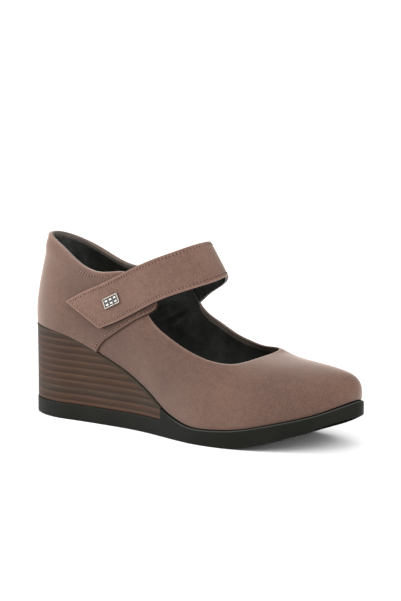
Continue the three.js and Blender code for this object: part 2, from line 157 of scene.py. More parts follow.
# Curves and the forms they carry
def curveThrough(values, closed=True):
    values = np.asarray(values, float)
    count = len(values)
    system = np.zeros((count, count))
    kinks = np.zeros(count)
    for i in range(count):
        if not closed and i in (0, count - 1):
            system[i, i] = 1
            continue
        before, after = (i - 1) % count, (i + 1) % count
        system[i, i] = 4
        system[i, before] += 1
        system[i, after] += 1
        kinks[i] = 6 * (values[before] - 2 * values[i] + values[after])
    bend = np.linalg.solve(system, kinks)

    def at(s):
        s = np.asarray(s, float)
        low = np.floor(s).astype(int)
        if not closed:
            low = np.clip(low, 0, count - 2)
        b = s - low
        a = 1 - b
        i, k = low % count, (low + 1) % count
        return a * values[i] + b * values[k] + ((a**3 - a) * bend[i] + (b**3 - b) * bend[k]) / 6

    return at


toe = len(sections) - 1
around = 2 * toe
halfBall = shoe["ballWidth"] / 2
loopRows = [[r[0], -r[1], r[3], r[4]] for r in sections]
loopRows += [[r[0], r[2], r[3], r[4]] for r in sections[toe - 1:0:-1]]
outlineX = curveThrough([r[0] * shoe["length"] - shoe["heelCentre"] for r in loopRows])
outlineY = curveThrough([r[1] * halfBall for r in loopRows])
seatCurve = curveThrough([r[2] * shoe["seatHeight"] for r in loopRows])
springCurve = curveThrough([r[3] * shoe["toeSpring"] for r in loopRows])


def unit(v):
    return v / np.maximum(np.linalg.norm(v, axis=-1, keepdims=True), 1e-12)


def outlineNormal(s):
    step = 0.02
    dx = outlineX(s + step) - outlineX(s - step)
    dy = outlineY(s + step) - outlineY(s - step)
    return unit(np.stack([dy, -dx, np.zeros_like(dx)], -1))


def outlinePoint(s, inset, z):
    s, inset, z = np.broadcast_arrays(s, inset, z)
    flat = np.stack([outlineX(s), outlineY(s), z], -1)
    return flat - outlineNormal(s) * inset[..., None]


# Station on the outer side at a distance from the heel back
def stationAt(x):
    stations = np.linspace(0, toe, 4001)
    return float(np.interp(x - shoe["heelCentre"], outlineX(stations), stations))


edgeRows = outerEdge + innerEdge[:0:-1]
leanOut = 8 * mm


def ribControls():
    controls = []
    for s, (x, y, z, rise, swell, drop, reach) in enumerate(edgeRows):
        foot = outlinePoint(float(s), shoe["welt"], seatCurve(float(s)) + shoe["gap"])
        edge = np.array([x * shoe["length"] - shoe["heelCentre"], y * halfBall, z * shoe["backHeight"]])
        out = (foot - edge) * [1, 1, 0] + outlineNormal(float(s)) * leanOut
        out = unit(out)
        lower = foot + out * swell * halfBall + [0, 0, rise * shoe["backHeight"]]
        upper = edge + out * reach * halfBall - [0, 0, drop * shoe["backHeight"]]
        controls.append([foot, lower, upper, edge])
    return np.array(controls)


ribs = ribControls()
ribCurves = [[curveThrough(ribs[:, i, axis]) for axis in range(3)] for i in range(4)]
tabRise = 60 * mm
tabLean = 0.06


# Outer face of the upper: s runs round the shoe, and t from 0 at the foot to 1 at the top edge
# and straight on
def outerFace(s, t):
    s = np.asarray(s, float)
    t = np.asarray(t, float)
    inside = np.minimum(t, 1)
    back = 1 - inside
    weights = [back**3, 3 * back**2 * inside, 3 * back * inside**2, inside**3]
    point = 0
    for weight, curves in zip(weights, ribCurves):
        control = np.stack([curve(s) for curve in curves], -1)
        point = point + weight[..., None] * control
    beyond = np.maximum(t - 1, 0) * tabRise
    lean = -np.sign(point[..., 1]) * beyond * tabLean
    return point + np.stack([np.zeros_like(beyond), lean, beyond], -1)


def faceNormal(s, t):
    step = 0.01
    along = outerFace(s + step, t) - outerFace(s - step, t)
    low = np.maximum(t - step, 0)
    up = outerFace(s, low + 2 * step) - outerFace(s, low)
    return unit(np.cross(along, up))


def offsetFace(s, t, distance):
    s, t, distance = np.broadcast_arrays(s, t, distance)
    return outerFace(s, t) + faceNormal(s, t) * distance[..., None]


# The t at which the outer face stands at a height
def reachOf(s, z):
    low = np.zeros_like(s)
    high = np.full_like(s, 2.0)
    for _ in range(30):
        middle = (low + high) / 2
        under = outerFace(s, middle)[..., 2] < z
        low = np.where(under, middle, low)
        high = np.where(under, high, middle)
    return low


# Share of t that a distance below the top edge takes
def dropShare(s, distance):
    step = 0.01
    top = np.ones_like(s)
    speed = np.linalg.norm(outerFace(s, top) - outerFace(s, top - step), axis=-1) / step
    return distance / speed


def heightOn(table, x):
    rows = np.array(table)
    share = (x + shoe["heelCentre"]) / shoe["length"]
    return np.interp(share, rows[:, 0], rows[:, 1]) * shoe["backHeight"]


def smooth(value, low, high):
    part = np.clip((np.asarray(value, float) - low) / (high - low), 0, 1)
    return part * part * (3 - 2 * part)


def spread(low, high, steps):
    return np.linspace(low, high, int(steps) + 1)


def stepsFor(count):
    return max(4, int(count * fineness))


# Mesh making: loops of points are laid one after another, and an end that comes to an edge is not capped.
# second is another material and the places in the loop between which it is used,
# and pale is how strongly each point is lightened by a painted edge highlight.
def closedPiece(name, loops, material, runsRound=False, capped=(True, True), sharp=40,
                second=None, pale=None):
    count, size = loops.shape[:2]
    index = np.arange(count * size).reshape(count, size)
    here = index if runsRound else index[:-1]
    ahead = np.roll(index, -1, axis=0) if runsRound else index[1:]
    quads = np.stack([here, np.roll(here, -1, 1), np.roll(ahead, -1, 1), ahead], -1).reshape(-1, 4)
    faces = [quads]
    if not runsRound:
        j = np.arange(size // 2 - 1)
        for end, wanted in zip((0, count - 1), capped):
            if not wanted:
                continue
            base = end * size
            cap = np.stack([base + j, base + size - 1 - j, base + size - 2 - j, base + j + 1], -1)
            faces.append(cap if end == 0 else cap[:, ::-1])
    faces = np.concatenate(faces)
    marks = np.zeros(len(faces), int)
    if second:
        place = np.arange(len(quads)) % size
        marks[:len(quads)] = (place >= second[1]) & (place < second[2])
    materials = [material, second[0]] if second else [material]
    if pale is not None:
        pale = np.broadcast_to(pale, loops.shape[:2]).ravel()
    return pieceFrom(name, loops.reshape(-1, 3), faces, materials, sharp, marks, pale)


def pieceFrom(name, points, faces, materials, sharp=40, marks=None, pale=None):
    mesh = bpy.data.meshes.new(name)
    mesh.from_pydata(np.asarray(points).tolist(), [], [list(f) for f in np.asarray(faces).tolist()])
    for material in materials:
        mesh.materials.append(material)
    if marks is not None:
        mesh.polygons.foreach_set("material_index", marks.astype(np.int32))
    if pale is not None:
        layer = mesh.attributes.new("paintedEdgeHighlight", "FLOAT", "POINT")
        layer.data.foreach_set("value", np.asarray(pale, np.float32))
    work = bmesh.new()
    work.from_mesh(mesh)
    bmesh.ops.remove_doubles(work, verts=work.verts, dist=1e-6)
    bmesh.ops.dissolve_degenerate(work, edges=work.edges, dist=1e-7)
    if work.calc_volume(signed=True) < 0:
        bmesh.ops.reverse_faces(work, faces=work.faces)
    work.to_mesh(mesh)
    work.free()
    mesh.shade_smooth()
    mesh.set_sharp_from_angle(angle=math.radians(sharp))
    piece = bpy.data.objects.new(name, mesh)
    bpy.context.collection.objects.link(piece)
    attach(piece, bodyName)
    return piece


# Slices of a sole piece: up its outer side, across its top, down its inner side, back underneath
def joinSides(near, far, acrossSteps):
    part = spread(0, 1, acrossSteps)[1:-1][None, :, None]
    above = near[:, -1:] * (1 - part) + far[:, -1:] * part
    below = far[:, :1] * (1 - part) + near[:, :1] * part
    return np.concatenate([near, above, far[:, ::-1], below], 1)


# A row of sides holds an inset, the face it is measured from (0 bottom, 1 top) and the distance up from it
def soleSlices(s, bottom, top, sides, acrossSteps):
    sides = np.array(sides)
    height = bottom[:, None] + (top - bottom)[:, None] * sides[None, :, 1] + sides[None, :, 2]
    near = outlinePoint(s[:, None], sides[None, :, 0], height)
    far = outlinePoint(around - s[:, None], sides[None, :, 0], height)
    return joinSides(near, far, acrossSteps)


# Rows of sides round a corner: with up, from the face out to the side, and otherwise back to the face
def roundCorner(radius, face, turns, up):
    rows = []
    for angle in spread(0, math.pi / 2, turns):
        inset = radius * (1 - math.sin(angle))
        rise = radius * (1 - math.cos(angle))
        rows.append([inset, face, rise if face == 0 else -rise])
    return rows if up else rows[::-1]


# Materials
def treeOf(name):
    material = bpy.data.materials.new(name)
    material.use_nodes = True
    tree = material.node_tree
    return material, tree, tree.nodes["Principled BSDF"]


def setInput(tree, socket, value):
    if isinstance(value, bpy.types.NodeSocket):
        tree.links.new(value, socket)
    else:
        socket.default_value = value


def setInputs(tree, node, values):
    for key, value in values.items():
        setInput(tree, node.inputs[key], value)


def add(tree, kind, values=None, **settings):
    made = tree.nodes.new(kind)
    for key, value in settings.items():
        setattr(made, key, value)
    setInputs(tree, made, values or {})
    return made


def placeOf(tree):
    return add(tree, "ShaderNodeTexCoord").outputs["Object"]


def attributeOf(tree, name):
    return add(tree, "ShaderNodeAttribute", attribute_name=name).outputs["Fac"]


def noise(tree, vector, scale, detail=3.0, roughness=0.55):
    values = {"Vector": vector, "Scale": scale, "Detail": detail, "Roughness": roughness}
    return add(tree, "ShaderNodeTexNoise", values).outputs["Fac"]


def ranged(tree, value, low, high, newLow=0.0, newHigh=1.0):
    values = {"Value": value, "From Min": low, "From Max": high, "To Min": newLow, "To Max": newHigh}
    return add(tree, "ShaderNodeMapRange", values).outputs["Result"]


# Noise lies mostly between 0.3 and 0.7, so that part is stretched to the wanted values
def fromNoise(tree, value, low=0.0, high=1.0):
    return ranged(tree, value, 0.3, 0.7, low, high)


def calculate(tree, a, b, operation="ADD"):
    return add(tree, "ShaderNodeMath", {0: a, 1: b}, operation=operation).outputs[0]


def multiply(tree, a, b):
    return calculate(tree, a, b, "MULTIPLY")


def scaled(tree, vector, factor):
    made = add(tree, "ShaderNodeVectorMath", {0: vector, "Scale": factor}, operation="SCALE")
    return made.outputs["Vector"]


# Colours are given as three numbers or come from another node
def blendOf(tree, factor, low, high):
    mix = add(tree, "ShaderNodeMix", {0: factor}, data_type="RGBA")
    for place, colour in ((6, low), (7, high)):
        fixed = not isinstance(colour, bpy.types.NodeSocket)
        setInput(tree, mix.inputs[place], (*colour, 1.0) if fixed else colour)
    return mix.outputs[2]


def bumpFrom(tree, surface, height, strength, distance):
    bump = add(tree, "ShaderNodeBump", {"Height": height, "Strength": strength, "Distance": distance})
    tree.links.new(bump.outputs["Normal"], surface.inputs["Normal"])


# Short matt nap: patches where it lies differently, a fine mottle and a soft bloom at grazing angles
nubuckLook = {
    "patchScale": 22.0,
    "mottleScale": 260.0,
    "napScale": 1500.0,
    "hairScale": 5200.0,
    "highlightBrighter": 1.35,
    "roughness": 0.92,
    "bloomTint": (1.0, 0.86, 0.78, 1.0),
    "relief": 0.12 * mm,
}


def nubuckMaterial(name, dark, light, glow):
    material, tree, surface = treeOf(name)
    place = placeOf(tree)
    patches = noise(tree, place, nubuckLook["patchScale"], 3.0, 0.5)
    mottle = noise(tree, place, nubuckLook["mottleScale"], 4.0, 0.6)
    nap = noise(tree, place, nubuckLook["napScale"], 3.0, 0.7)
    hair = noise(tree, place, nubuckLook["hairScale"], 2.0, 0.6)
    coarse = calculate(tree, fromNoise(tree, patches, -0.15, 0.15), fromNoise(tree, mottle, -0.09, 0.09))
    fine = calculate(tree, fromNoise(tree, nap, -0.34, 0.34), fromNoise(tree, hair, -0.15, 0.15))
    tone = calculate(tree, calculate(tree, coarse, fine), 0.5)
    # Edges are blended towards a lighter colour: a painted highlight along rims and cut edges
    edgeHighlight = [c * nubuckLook["highlightBrighter"] for c in light]
    colour = blendOf(tree, tone, dark, light)
    colour = blendOf(tree, attributeOf(tree, "paintedEdgeHighlight"), colour, edgeHighlight)
    # A per-point tone scales the colour: partly nap lying differently, partly painted light and shade on
    # sides facing towards or away from the lamps
    napAndShade = calculate(tree, attributeOf(tree, "napAndShadeTone"), 1.0)
    setInputs(tree, surface, {
        "Base Color": scaled(tree, colour, napAndShade),
        "Roughness": nubuckLook["roughness"],
        "Specular IOR Level": 0.18,
        "Sheen Weight": glow,
        "Sheen Roughness": 0.4,
        "Sheen Tint": nubuckLook["bloomTint"],
    })
    relief = calculate(tree, nap, multiply(tree, hair, 0.5))
    bumpFrom(tree, surface, relief, 0.35, nubuckLook["relief"])
    return material


# Smooth leather: fine cell grain, slow wrinkles and uneven polish
def leatherMaterial(name, dark, light, roughness, grain=900.0, depth=0.12 * mm, specular=0.4):
    material, tree, surface = treeOf(name)
    place = placeOf(tree)
    cells = add(tree, "ShaderNodeTexVoronoi", {"Vector": place, "Scale": grain}).outputs["Distance"]
    folds = noise(tree, place, 90.0, 4.0, 0.6)
    setInputs(tree, surface, {
        "Base Color": blendOf(tree, fromNoise(tree, folds), dark, light),
        "Roughness": fromNoise(tree, folds, roughness - 0.06, roughness + 0.1),
        "Specular IOR Level": specular,
    })
    relief = calculate(tree, cells, multiply(tree, folds, 2.0))
    bumpFrom(tree, surface, relief, 0.5, depth)
    return material


# Satin moulded rubber with a fine tooth and faint mould haze
rubberLook = {
    "dark": (0.0038, 0.0039, 0.0030),
    "light": (0.0066, 0.0065, 0.0050),
    "edgeHighlight": (0.060, 0.062, 0.055),
    "hazeScale": 40.0,
    "toothScale": 2600.0,
}


def rubberMaterial(name, roughness, specular):
    material, tree, surface = treeOf(name)
    place = placeOf(tree)
    haze = noise(tree, place, rubberLook["hazeScale"], 4.0, 0.6)
    tooth = noise(tree, place, rubberLook["toothScale"], 2.0, 0.6)
    colour = blendOf(tree, fromNoise(tree, haze), rubberLook["dark"], rubberLook["light"])
    # Points marked at the lip are blended towards a lighter grey: a painted highlight
    setInputs(tree, surface, {
        "Base Color": blendOf(tree, attributeOf(tree, "paintedEdgeHighlight"), colour, rubberLook["edgeHighlight"]),
        "Roughness": fromNoise(tree, haze, roughness, roughness + 0.14),
        "Specular IOR Level": specular,
    })
    bumpFrom(tree, surface, tooth, 0.25, 0.08 * mm)
    return material


wedgeLook = {
    "layer": 4.3 * mm,  # one layer of the stack
    "groove": 0.16 * mm,
    "grooveWidth": 0.6 * mm,
    "rim": 1.7 * mm,  # grey edge strip under the upper
    "rimOut": 0.25 * mm,
    "inset": 0.3 * mm,  # of the side at the foot, and how much less it is at the top
    "insetLess": 0.2 * mm,
    "topRound": 0.5 * mm,
    "topRoundReach": 0.6 * mm,
    "footRound": 0.4 * mm,
    "footRoundReach": 0.7 * mm,
    "clearance": 0.05 * mm,
    "red": (0.0390, 0.0190, 0.0112),
    "grey": (0.0310, 0.0186, 0.0118),
    "strip": (0.0225, 0.0178, 0.0118),
    "stripFrom": 45 * mm,  # the strip shows only from here forwards
    "stripFull": 95 * mm,
    "fibreStretch": 16.0,
    "bands": [  # places in one layer, from its bottom up, and how bright each is
        (0.0, 0.72),
        (0.25, 0.70),
        (0.5, 0.80),
        (0.68, 1.12),
        (0.82, 1.3),
        (0.94, 0.92),
        (1.0, 0.74),
    ],
}


# Stacked wedge: each layer pale near its top and darker below, a little redder or greyer than the next,
# with faint long fibres and a grey strip under the upper
def stackMaterial():
    material, tree, surface = treeOf("stacked_wedge")
    place = placeOf(tree)
    split = add(tree, "ShaderNodeSeparateXYZ", {"Vector": place})
    stretch = (1.0, 1.0, wedgeLook["fibreStretch"])
    stretched = add(tree, "ShaderNodeMapping", {"Vector": place, "Scale": stretch}).outputs["Vector"]
    drift = noise(tree, place, 14.0, 2.0)
    level = calculate(tree, split.outputs["Z"], fromNoise(tree, drift, -0.3 * mm, 0.3 * mm))
    layers = calculate(tree, level, wedgeLook["layer"], "DIVIDE")
    number = calculate(tree, layers, 0.0, "FLOOR")
    within = calculate(tree, layers, 0.0, "FRACT")
    tone = add(tree, "ShaderNodeTexWhiteNoise", {"W": number}, noise_dimensions="1D").outputs["Value"]
    streak = noise(tree, stretched, 60.0, 5.0, 0.6)
    fine = noise(tree, stretched, 380.0, 3.0, 0.6)
    brown = blendOf(tree, tone, wedgeLook["grey"], wedgeLook["red"])
    shade = add(tree, "ShaderNodeValToRGB", {"Fac": within})
    ramp = shade.color_ramp
    ramp.interpolation = "B_SPLINE"
    while len(ramp.elements) < len(wedgeLook["bands"]):
        ramp.elements.new(0.5)
    for element, (where, bright) in zip(ramp.elements, wedgeLook["bands"]):
        element.position = where
        element.color = (bright / 2, bright / 2, bright / 2, 1)
    uneven = multiply(tree, fromNoise(tree, streak, 0.84, 1.16), fromNoise(tree, fine, 0.93, 1.07))
    strength = multiply(tree, multiply(tree, shade.outputs["Color"], 2.0), uneven)
    below = attributeOf(tree, "belowSeat")
    rim = ranged(tree, below, wedgeLook["rim"] * 1.2, wedgeLook["rim"] * 0.7)
    front = ranged(tree, split.outputs["X"], wedgeLook["stripFrom"] - shoe["heelCentre"],
                   wedgeLook["stripFull"] - shoe["heelCentre"], 0.25, 1.0)
    face = scaled(tree, brown, strength)
    setInputs(tree, surface, {
        "Base Color": blendOf(tree, multiply(tree, rim, front), face, wedgeLook["strip"]),
        "Roughness": 0.5,
        "Specular IOR Level": 0.09,
    })
    bumpFrom(tree, surface, calculate(tree, streak, fine), 0.3, 0.1 * mm)
    return material


def metalMaterial(name, colour, roughness):
    material, tree, surface = treeOf(name)
    wear = noise(tree, placeOf(tree), 900.0, 4.0, 0.6)
    worn = [c * 0.85 for c in colour]
    setInputs(tree, surface, {
        "Base Color": blendOf(tree, ranged(tree, wear, 0.2, 0.8), worn, colour),
        "Roughness": fromNoise(tree, wear, roughness - 0.06, roughness + 0.1),
        "Metallic": 1.0,
    })
    bumpFrom(tree, surface, wear, 0.1, 0.05 * mm)
    return material


def enamelMaterial():
    material, tree, surface = treeOf("dark_enamel")
    cloud = noise(tree, placeOf(tree), 700.0, 3.0)
    setInputs(tree, surface, {
        "Base Color": blendOf(tree, cloud, (0.012, 0.013, 0.015), (0.035, 0.036, 0.04)),
        "Roughness": 0.35,
        "Specular IOR Level": 0.3,
        "Coat Weight": 0.15,
    })
    return material


# Each leather is given its dark and its light colour
nubuck = nubuckMaterial("nubuck", (0.047, 0.0247, 0.0182), (0.122, 0.069, 0.051), 0.6)
liningLeather = leatherMaterial("lining_leather", (0.0085, 0.0090, 0.0076), (0.0180, 0.0190, 0.0162), 0.36,
                                specular=0.35)
strapNubuck = nubuckMaterial("strap_nubuck", (0.0545, 0.0294, 0.0222), (0.1425, 0.0825, 0.0625), 0.25)
strapLining = leatherMaterial("strap_lining_leather", (0.0045, 0.0047, 0.004), (0.009, 0.0095, 0.008), 0.4)
bindingLeather = leatherMaterial("binding_leather", (0.048, 0.037, 0.030), (0.086, 0.067, 0.054), 0.5)
insoleLeather = leatherMaterial("insole_leather", (0.008, 0.008, 0.0075), (0.018, 0.0175, 0.016), 0.5)
thread = leatherMaterial("thread", (0.135, 0.080, 0.062), (0.20, 0.125, 0.100), 0.7,
                         grain=3000.0, depth=0.1 * mm)
needleHole = leatherMaterial("needle_hole", (0.038, 0.0195, 0.0148), (0.054, 0.029, 0.022), 0.8,
                             grain=3000.0, depth=0.05 * mm, specular=0.1)
# Dark brown for the beads that paint the shade along the quarter's front seams
seamShadeLeather = leatherMaterial("painted_seam_shade", (0.030, 0.0145, 0.0100), (0.044, 0.0225, 0.0160), 0.8,
                            grain=3000.0, depth=0.05 * mm, specular=0.08)
# Nearly black leather for the bead that paints the shadow under the strap
strapShadowBead = leatherMaterial("painted_strap_shadow", (0.009, 0.007, 0.006), (0.014, 0.011, 0.009), 0.85,
                               specular=0.04)
rubber = rubberMaterial("outsole_rubber", 0.46, 0.07)
treadRubber = rubberMaterial("tread_rubber", 0.85, 0.0)
stack = stackMaterial()
silver = metalMaterial("bright_metal", (0.27, 0.245, 0.215), 0.34)
satinSilver = metalMaterial("satin_metal", (0.48, 0.45, 0.41), 0.5)
enamel = enamelMaterial()


def setNumbers(piece, name, values):
    layer = piece.data.attributes.new(name, "FLOAT", "POINT")
    layer.data.foreach_set("value", np.asarray(values, np.float32))


def pointsOf(piece):
    flat = np.empty(len(piece.data.vertices) * 3, np.float32)
    piece.data.vertices.foreach_get("co", flat)
    return flat.reshape(-1, 3)


# Where the nap lies darker or paler, partly painted shade and light on sides that face away from or
# towards the lamps: x, y, z and reach in mm in the frame, and how much paler
napAndShadePatches = {
    "upper": [
        [95, -29, 38, 38, -0.24],
        [24, -22, 90, 16, -0.24],
        [45, -28, 56, 24, -0.16],
        [184, -33, 29, 26, -0.14],
    ],
    "strap": [
        [30, -28, 76, 24, 0.22],
        [128, -26, 105, 22, 0.14],
    ],
}


def paintNapAndShade(piece, patches):
    points = pointsOf(piece) / mm
    tone = np.zeros(len(points))
    for x, y, z, reach, paler in patches:
        away = np.linalg.norm(points - [x, y, z], axis=1)
        tone += paler * np.exp(-((away / reach) ** 2))
    setNumbers(piece, "napAndShadeTone", tone)


# Sole
sole = {
    "bottomRadius": 1.0 * mm,
    "topRadius": 0.8 * mm,
    "sideFrom": 4 * mm,  # rows of points on the plain side, up from the bottom and down from the top
    "sideTo": 3 * mm,
    "wedgeEnd": 0.5 * shoe["length"],
    "stepSlope": 0.3 * mm,
    "insoleThickness": 2.5 * mm,
    "insoleRound": 1.2 * mm,
    "palest": 0.5,  # painted highlight along the upper lip
    "treadPitch": 7.0 * mm,
    "treadDepth": 0.9 * mm,
    "treadSlant": 0.35,
    "treadSteps": 24,
    "treadWidths": (20 * mm, 30 * mm),  # the tread fades out where the underside is narrower
}


def floorLine(s):
    return np.maximum(springCurve(s), 0)


# Chevron grooves in the middle of the underside
def treadRelief(points):
    phase = (points[..., 0] + sole["treadSlant"] * np.abs(points[..., 1])) / sole["treadPitch"]
    return sole["treadDepth"] * np.clip((np.cos(2 * np.pi * phase) - 0.15) / 0.3, 0, 1)


def makeOutsole():
    sides = roundCorner(sole["bottomRadius"], 0, 6, True)
    sides += [[0, 0, sole["sideFrom"]], [0, 1, -sole["sideTo"]]]
    sides += roundCorner(sole["topRadius"], 1, 5, False)
    step = stationAt(sole["wedgeEnd"])
    rear = spread(0, step, stepsFor(180))
    front = spread(stationAt(sole["wedgeEnd"] + sole["stepSlope"]), toe, stepsFor(220))
    across = sole["treadSteps"]
    rearTop = np.full_like(rear, shoe["outsoleThickness"])
    rearSlices = soleSlices(rear, floorLine(rear), rearTop, sides, across)
    frontSlices = soleSlices(front, floorLine(front), seatCurve(front), sides, across)
    loops = np.concatenate([rearSlices, frontSlices])
    under = loops[:, 1 - across:]
    width = np.abs(under[:, :1, 1] - under[:, -1:, 1])
    rows = np.arange(across - 1)
    fromSides = smooth(np.minimum(rows, rows[::-1]), 2.0, 4.0)
    under[..., 2] += treadRelief(under) * fromSides * smooth(width, *sole["treadWidths"])
    place = loops.shape[1] - across
    # Painted highlight along the upper lip, from just in front of the wedge's end
    lip = np.zeros(loops.shape[:2])
    edgeHighlight = sole["palest"] * smooth(np.concatenate([rear, front]), step + 0.3, step + 1.5)
    for row in (len(sides) - 5, len(sides) - 4):
        lip[:, row] = edgeHighlight
        lip[:, len(sides) + across - 2 + len(sides) - row] = edgeHighlight
    piece = closedPiece("outsole_rubber", loops, rubber, capped=(False, False), sharp=50,
                        second=(treadRubber, place, place + across), pale=lip)
    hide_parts("outsole")


def makeWedge():
    look = wedgeLook
    low = shoe["outsoleThickness"] + look["clearance"]
    end = stationAt(sole["wedgeEnd"] - look["clearance"])
    s = spread(0, end, stepsFor(300))
    top = seatCurve(s)
    near, far = [], []
    for share in spread(0, 1, stepsFor(110)):
        z = low + (top - low) * share
        place = np.mod(z, look["layer"])
        away = np.minimum(place, look["layer"] - place)
        groove = look["groove"] * np.exp(-(away / (look["grooveWidth"] / 2)) ** 2)
        under = top - z
        rim = look["rimOut"] * smooth(under, look["rim"], look["rim"] * 0.75)
        inset = look["inset"] - look["insetLess"] * share + groove * smooth(under, 0, look["rim"]) - rim
        inset = inset + look["topRound"] * np.maximum(0, 1 - under / look["topRoundReach"]) ** 2
        inset = inset + look["footRound"] * np.maximum(0, 1 - (z - low) / look["footRoundReach"]) ** 2
        near.append(outlinePoint(s, inset, z))
        far.append(outlinePoint(around - s, inset, z))
    loops = joinSides(np.stack(near, 1), np.stack(far, 1), 8)
    piece = closedPiece("stacked_wedge", loops, stack, capped=(False, True), sharp=60)
    points = pointsOf(piece)
    stations = np.linspace(0, toe, 2000)
    seat = np.interp(points[:, 0], outlineX(stations), seatCurve(stations))
    setNumbers(piece, "belowSeat", seat - points[:, 2])
    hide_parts("wedge")


def makeInsole():
    inset = shoe["welt"] + shoe["wall"] + 2 * shoe["gap"]
    radius = sole["insoleRound"]
    sides = [[inset, 0, 0], [inset, 0, radius]]
    sides += [[inset + radius * (1 - math.cos(a)), 1, -radius * (1 - math.sin(a))]
              for a in spread(0, math.pi / 2, 5)]
    s = spread(0, toe, stepsFor(200))
    low = seatCurve(s) + shoe["gap"]
    slices = soleSlices(s, low, low + sole["insoleThickness"], sides, 24)
    piece = closedPiece("insole_sock", slices, insoleLeather, capped=(False, False), sharp=60)
    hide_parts("insole")


# Upper
collarLook = {
    "sink": 0.4 * mm,  # leather folds over this far below the solid's edge
    "under": 1.6 * mm,  # vamp leather ends this far below the quarter's fold
    "to": 88 * mm,  # where the collar roll ends, from the heel back
    "fade": 8 * mm,
    "pad": 0.75 * mm,
    "padAt": 6.5 * mm,
    "padWidth": 4.5 * mm,
    "padTo": 62 * mm,
}


# 1 where the quarter folds over the top edge, 0 in front of it
def collarShare(s):
    fromHeel = outerFace(s, np.full_like(s, 0.5))[..., 0] + shoe["heelCentre"]
    return 1 - smooth(fromHeel, collarLook["to"], collarLook["to"] + collarLook["fade"])


upperLook = {
    "leather": 0.8 * mm,
    "fold": 3.0 * mm,  # leather turned in over the top edge
    "bindingSeam": 2.3 * mm,
    "pale": 0.4,  # painted highlight on the edges
    "tuck": 0.35 * mm,
    "tuckRise": 0.7 * mm,
    "collarRoll": 0.5 * mm,
    "vampFrom": 3.45,  # station where the vamp begins under the quarter
    "vampTo": 28.6,
    "bandEnd": 25.15,  # inner station where the turned edge gives way to lining under the strap
    "bareDrop": 3.0 * mm,  # how far below the edge the vamp ends there
    "liningDrop": 1.2 * mm,  # and how far below it the lining ends elsewhere
    "liningGap": 0.05 * mm,
    "turnedLift": 0.06 * mm,
    "softness": 0.10 * mm,
}


# Slow unevenness of stretched leather
def softness(points):
    x, y, z = points[..., 0], points[..., 1], points[..., 2]
    wave = np.sin(x * 95 + y * 60 + 1.0) * np.sin(z * 120 - x * 40)
    wave = wave + 0.5 * np.sin(x * 210 - z * 170 + 2.0) * np.sin(y * 160 + 0.7)
    return wave * upperLook["softness"]


# How far the leather draws in just above the sole, which leaves a dark joint line
def tuckedIn(fromSeat):
    return upperLook["tuck"] * np.maximum(0, 1 - fromSeat / upperLook["tuckRise"]) ** 2


# Points over a top edge, from one distance off the face to another, raised between them
def rolledRim(s, top, start, end, rise, turns):
    edgeUp = unit(outerFace(s, top) - outerFace(s, top - 0.01))
    angles = spread(0, math.pi, turns)[1:-1][None, :]
    across = start + (end - start) * (1 - np.cos(angles)) / 2
    return offsetFace(s, top + 0 * angles, across) + edgeUp * (rise * np.sin(angles))[..., None]


def evenLoops(loops):
    if loops.shape[1] % 2:
        loops = np.concatenate([loops, loops[:, -1:] * 0.5 + loops[:, :1] * 0.5], 1)
    return loops


def makeVamp():
    s = spread(upperLook["vampFrom"], upperLook["vampTo"], stepsFor(420))[:, None]
    column = s[:, 0]
    band = 1 - smooth(column, upperLook["bandEnd"], upperLook["bandEnd"] + 0.12)
    covered = dropShare(column, collarLook["sink"] + collarLook["under"]) * collarShare(column)
    topDrop = np.maximum(dropShare(column, upperLook["bareDrop"]) * (1 - band), covered)
    top = 1 - topDrop[:, None]
    rise = spread(0, 1, stepsFor(84)) ** 0.92
    t = rise[None, :] * top
    outside = offsetFace(s, t, 0.0)
    fromSeat = np.linalg.norm(outside - outside[:, :1], axis=-1)
    outside = outside + faceNormal(s, t) * (softness(outside) - tuckedIn(fromSeat))[..., None]
    depth = shoe["wall"] * band[:, None] + upperLook["leather"] * (1 - band[:, None])
    depth = depth + upperLook["turnedLift"]
    rim = rolledRim(s, top, 0 * depth, -depth, 0.55 * depth, 12)
    fold = dropShare(column, upperLook["fold"])[:, None] * band[:, None]
    down = spread(0, 1, 6)[None, :]
    turned = offsetFace(s, top - fold * down, -depth + 0 * down)
    inT = t[:, ::-1] * (top - fold) / top
    inside = offsetFace(s, inT, -upperLook["leather"])
    loops = evenLoops(np.concatenate([outside, rim, turned, inside], 1))
    edge = outside.shape[1]
    dark = (bindingLeather, edge + 7, edge + 10 + turned.shape[1])
    # Painted highlight along the top edge and its roll
    pale = np.zeros(loops.shape[1])
    pale[edge - 1:edge + 8] = upperLook["pale"]
    piece = closedPiece("vamp_leather", loops, nubuck, sharp=60, second=dark, pale=pale)
    paintNapAndShade(piece, napAndShadePatches["upper"])
    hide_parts("upper")


# Creases of the lining: side, x and z of both ends from the heel back and the floor, width, depth, in mm
liningCreases = [
    [1, 77, 55, 96, 67, 1.4, 1.1],
    [1, 70, 62, 80, 71, 1.2, 0.7],
    [1, 74, 61, 85, 69, 1.2, 0.6],
    [1, 66, 66, 86, 71, 1.6, 0.3],
    [1, 13, 88, 15, 106, 1.3, 0.7],
    [1, 20, 88, 21, 102, 1.1, 0.5],
    [1, 118, 30, 132, 44, 1.4, 0.5],
    [1, 30, 84, 44, 72, 1.6, 0.3],
    [-1, 100, 50, 120, 40, 1.4, 0.3],
]


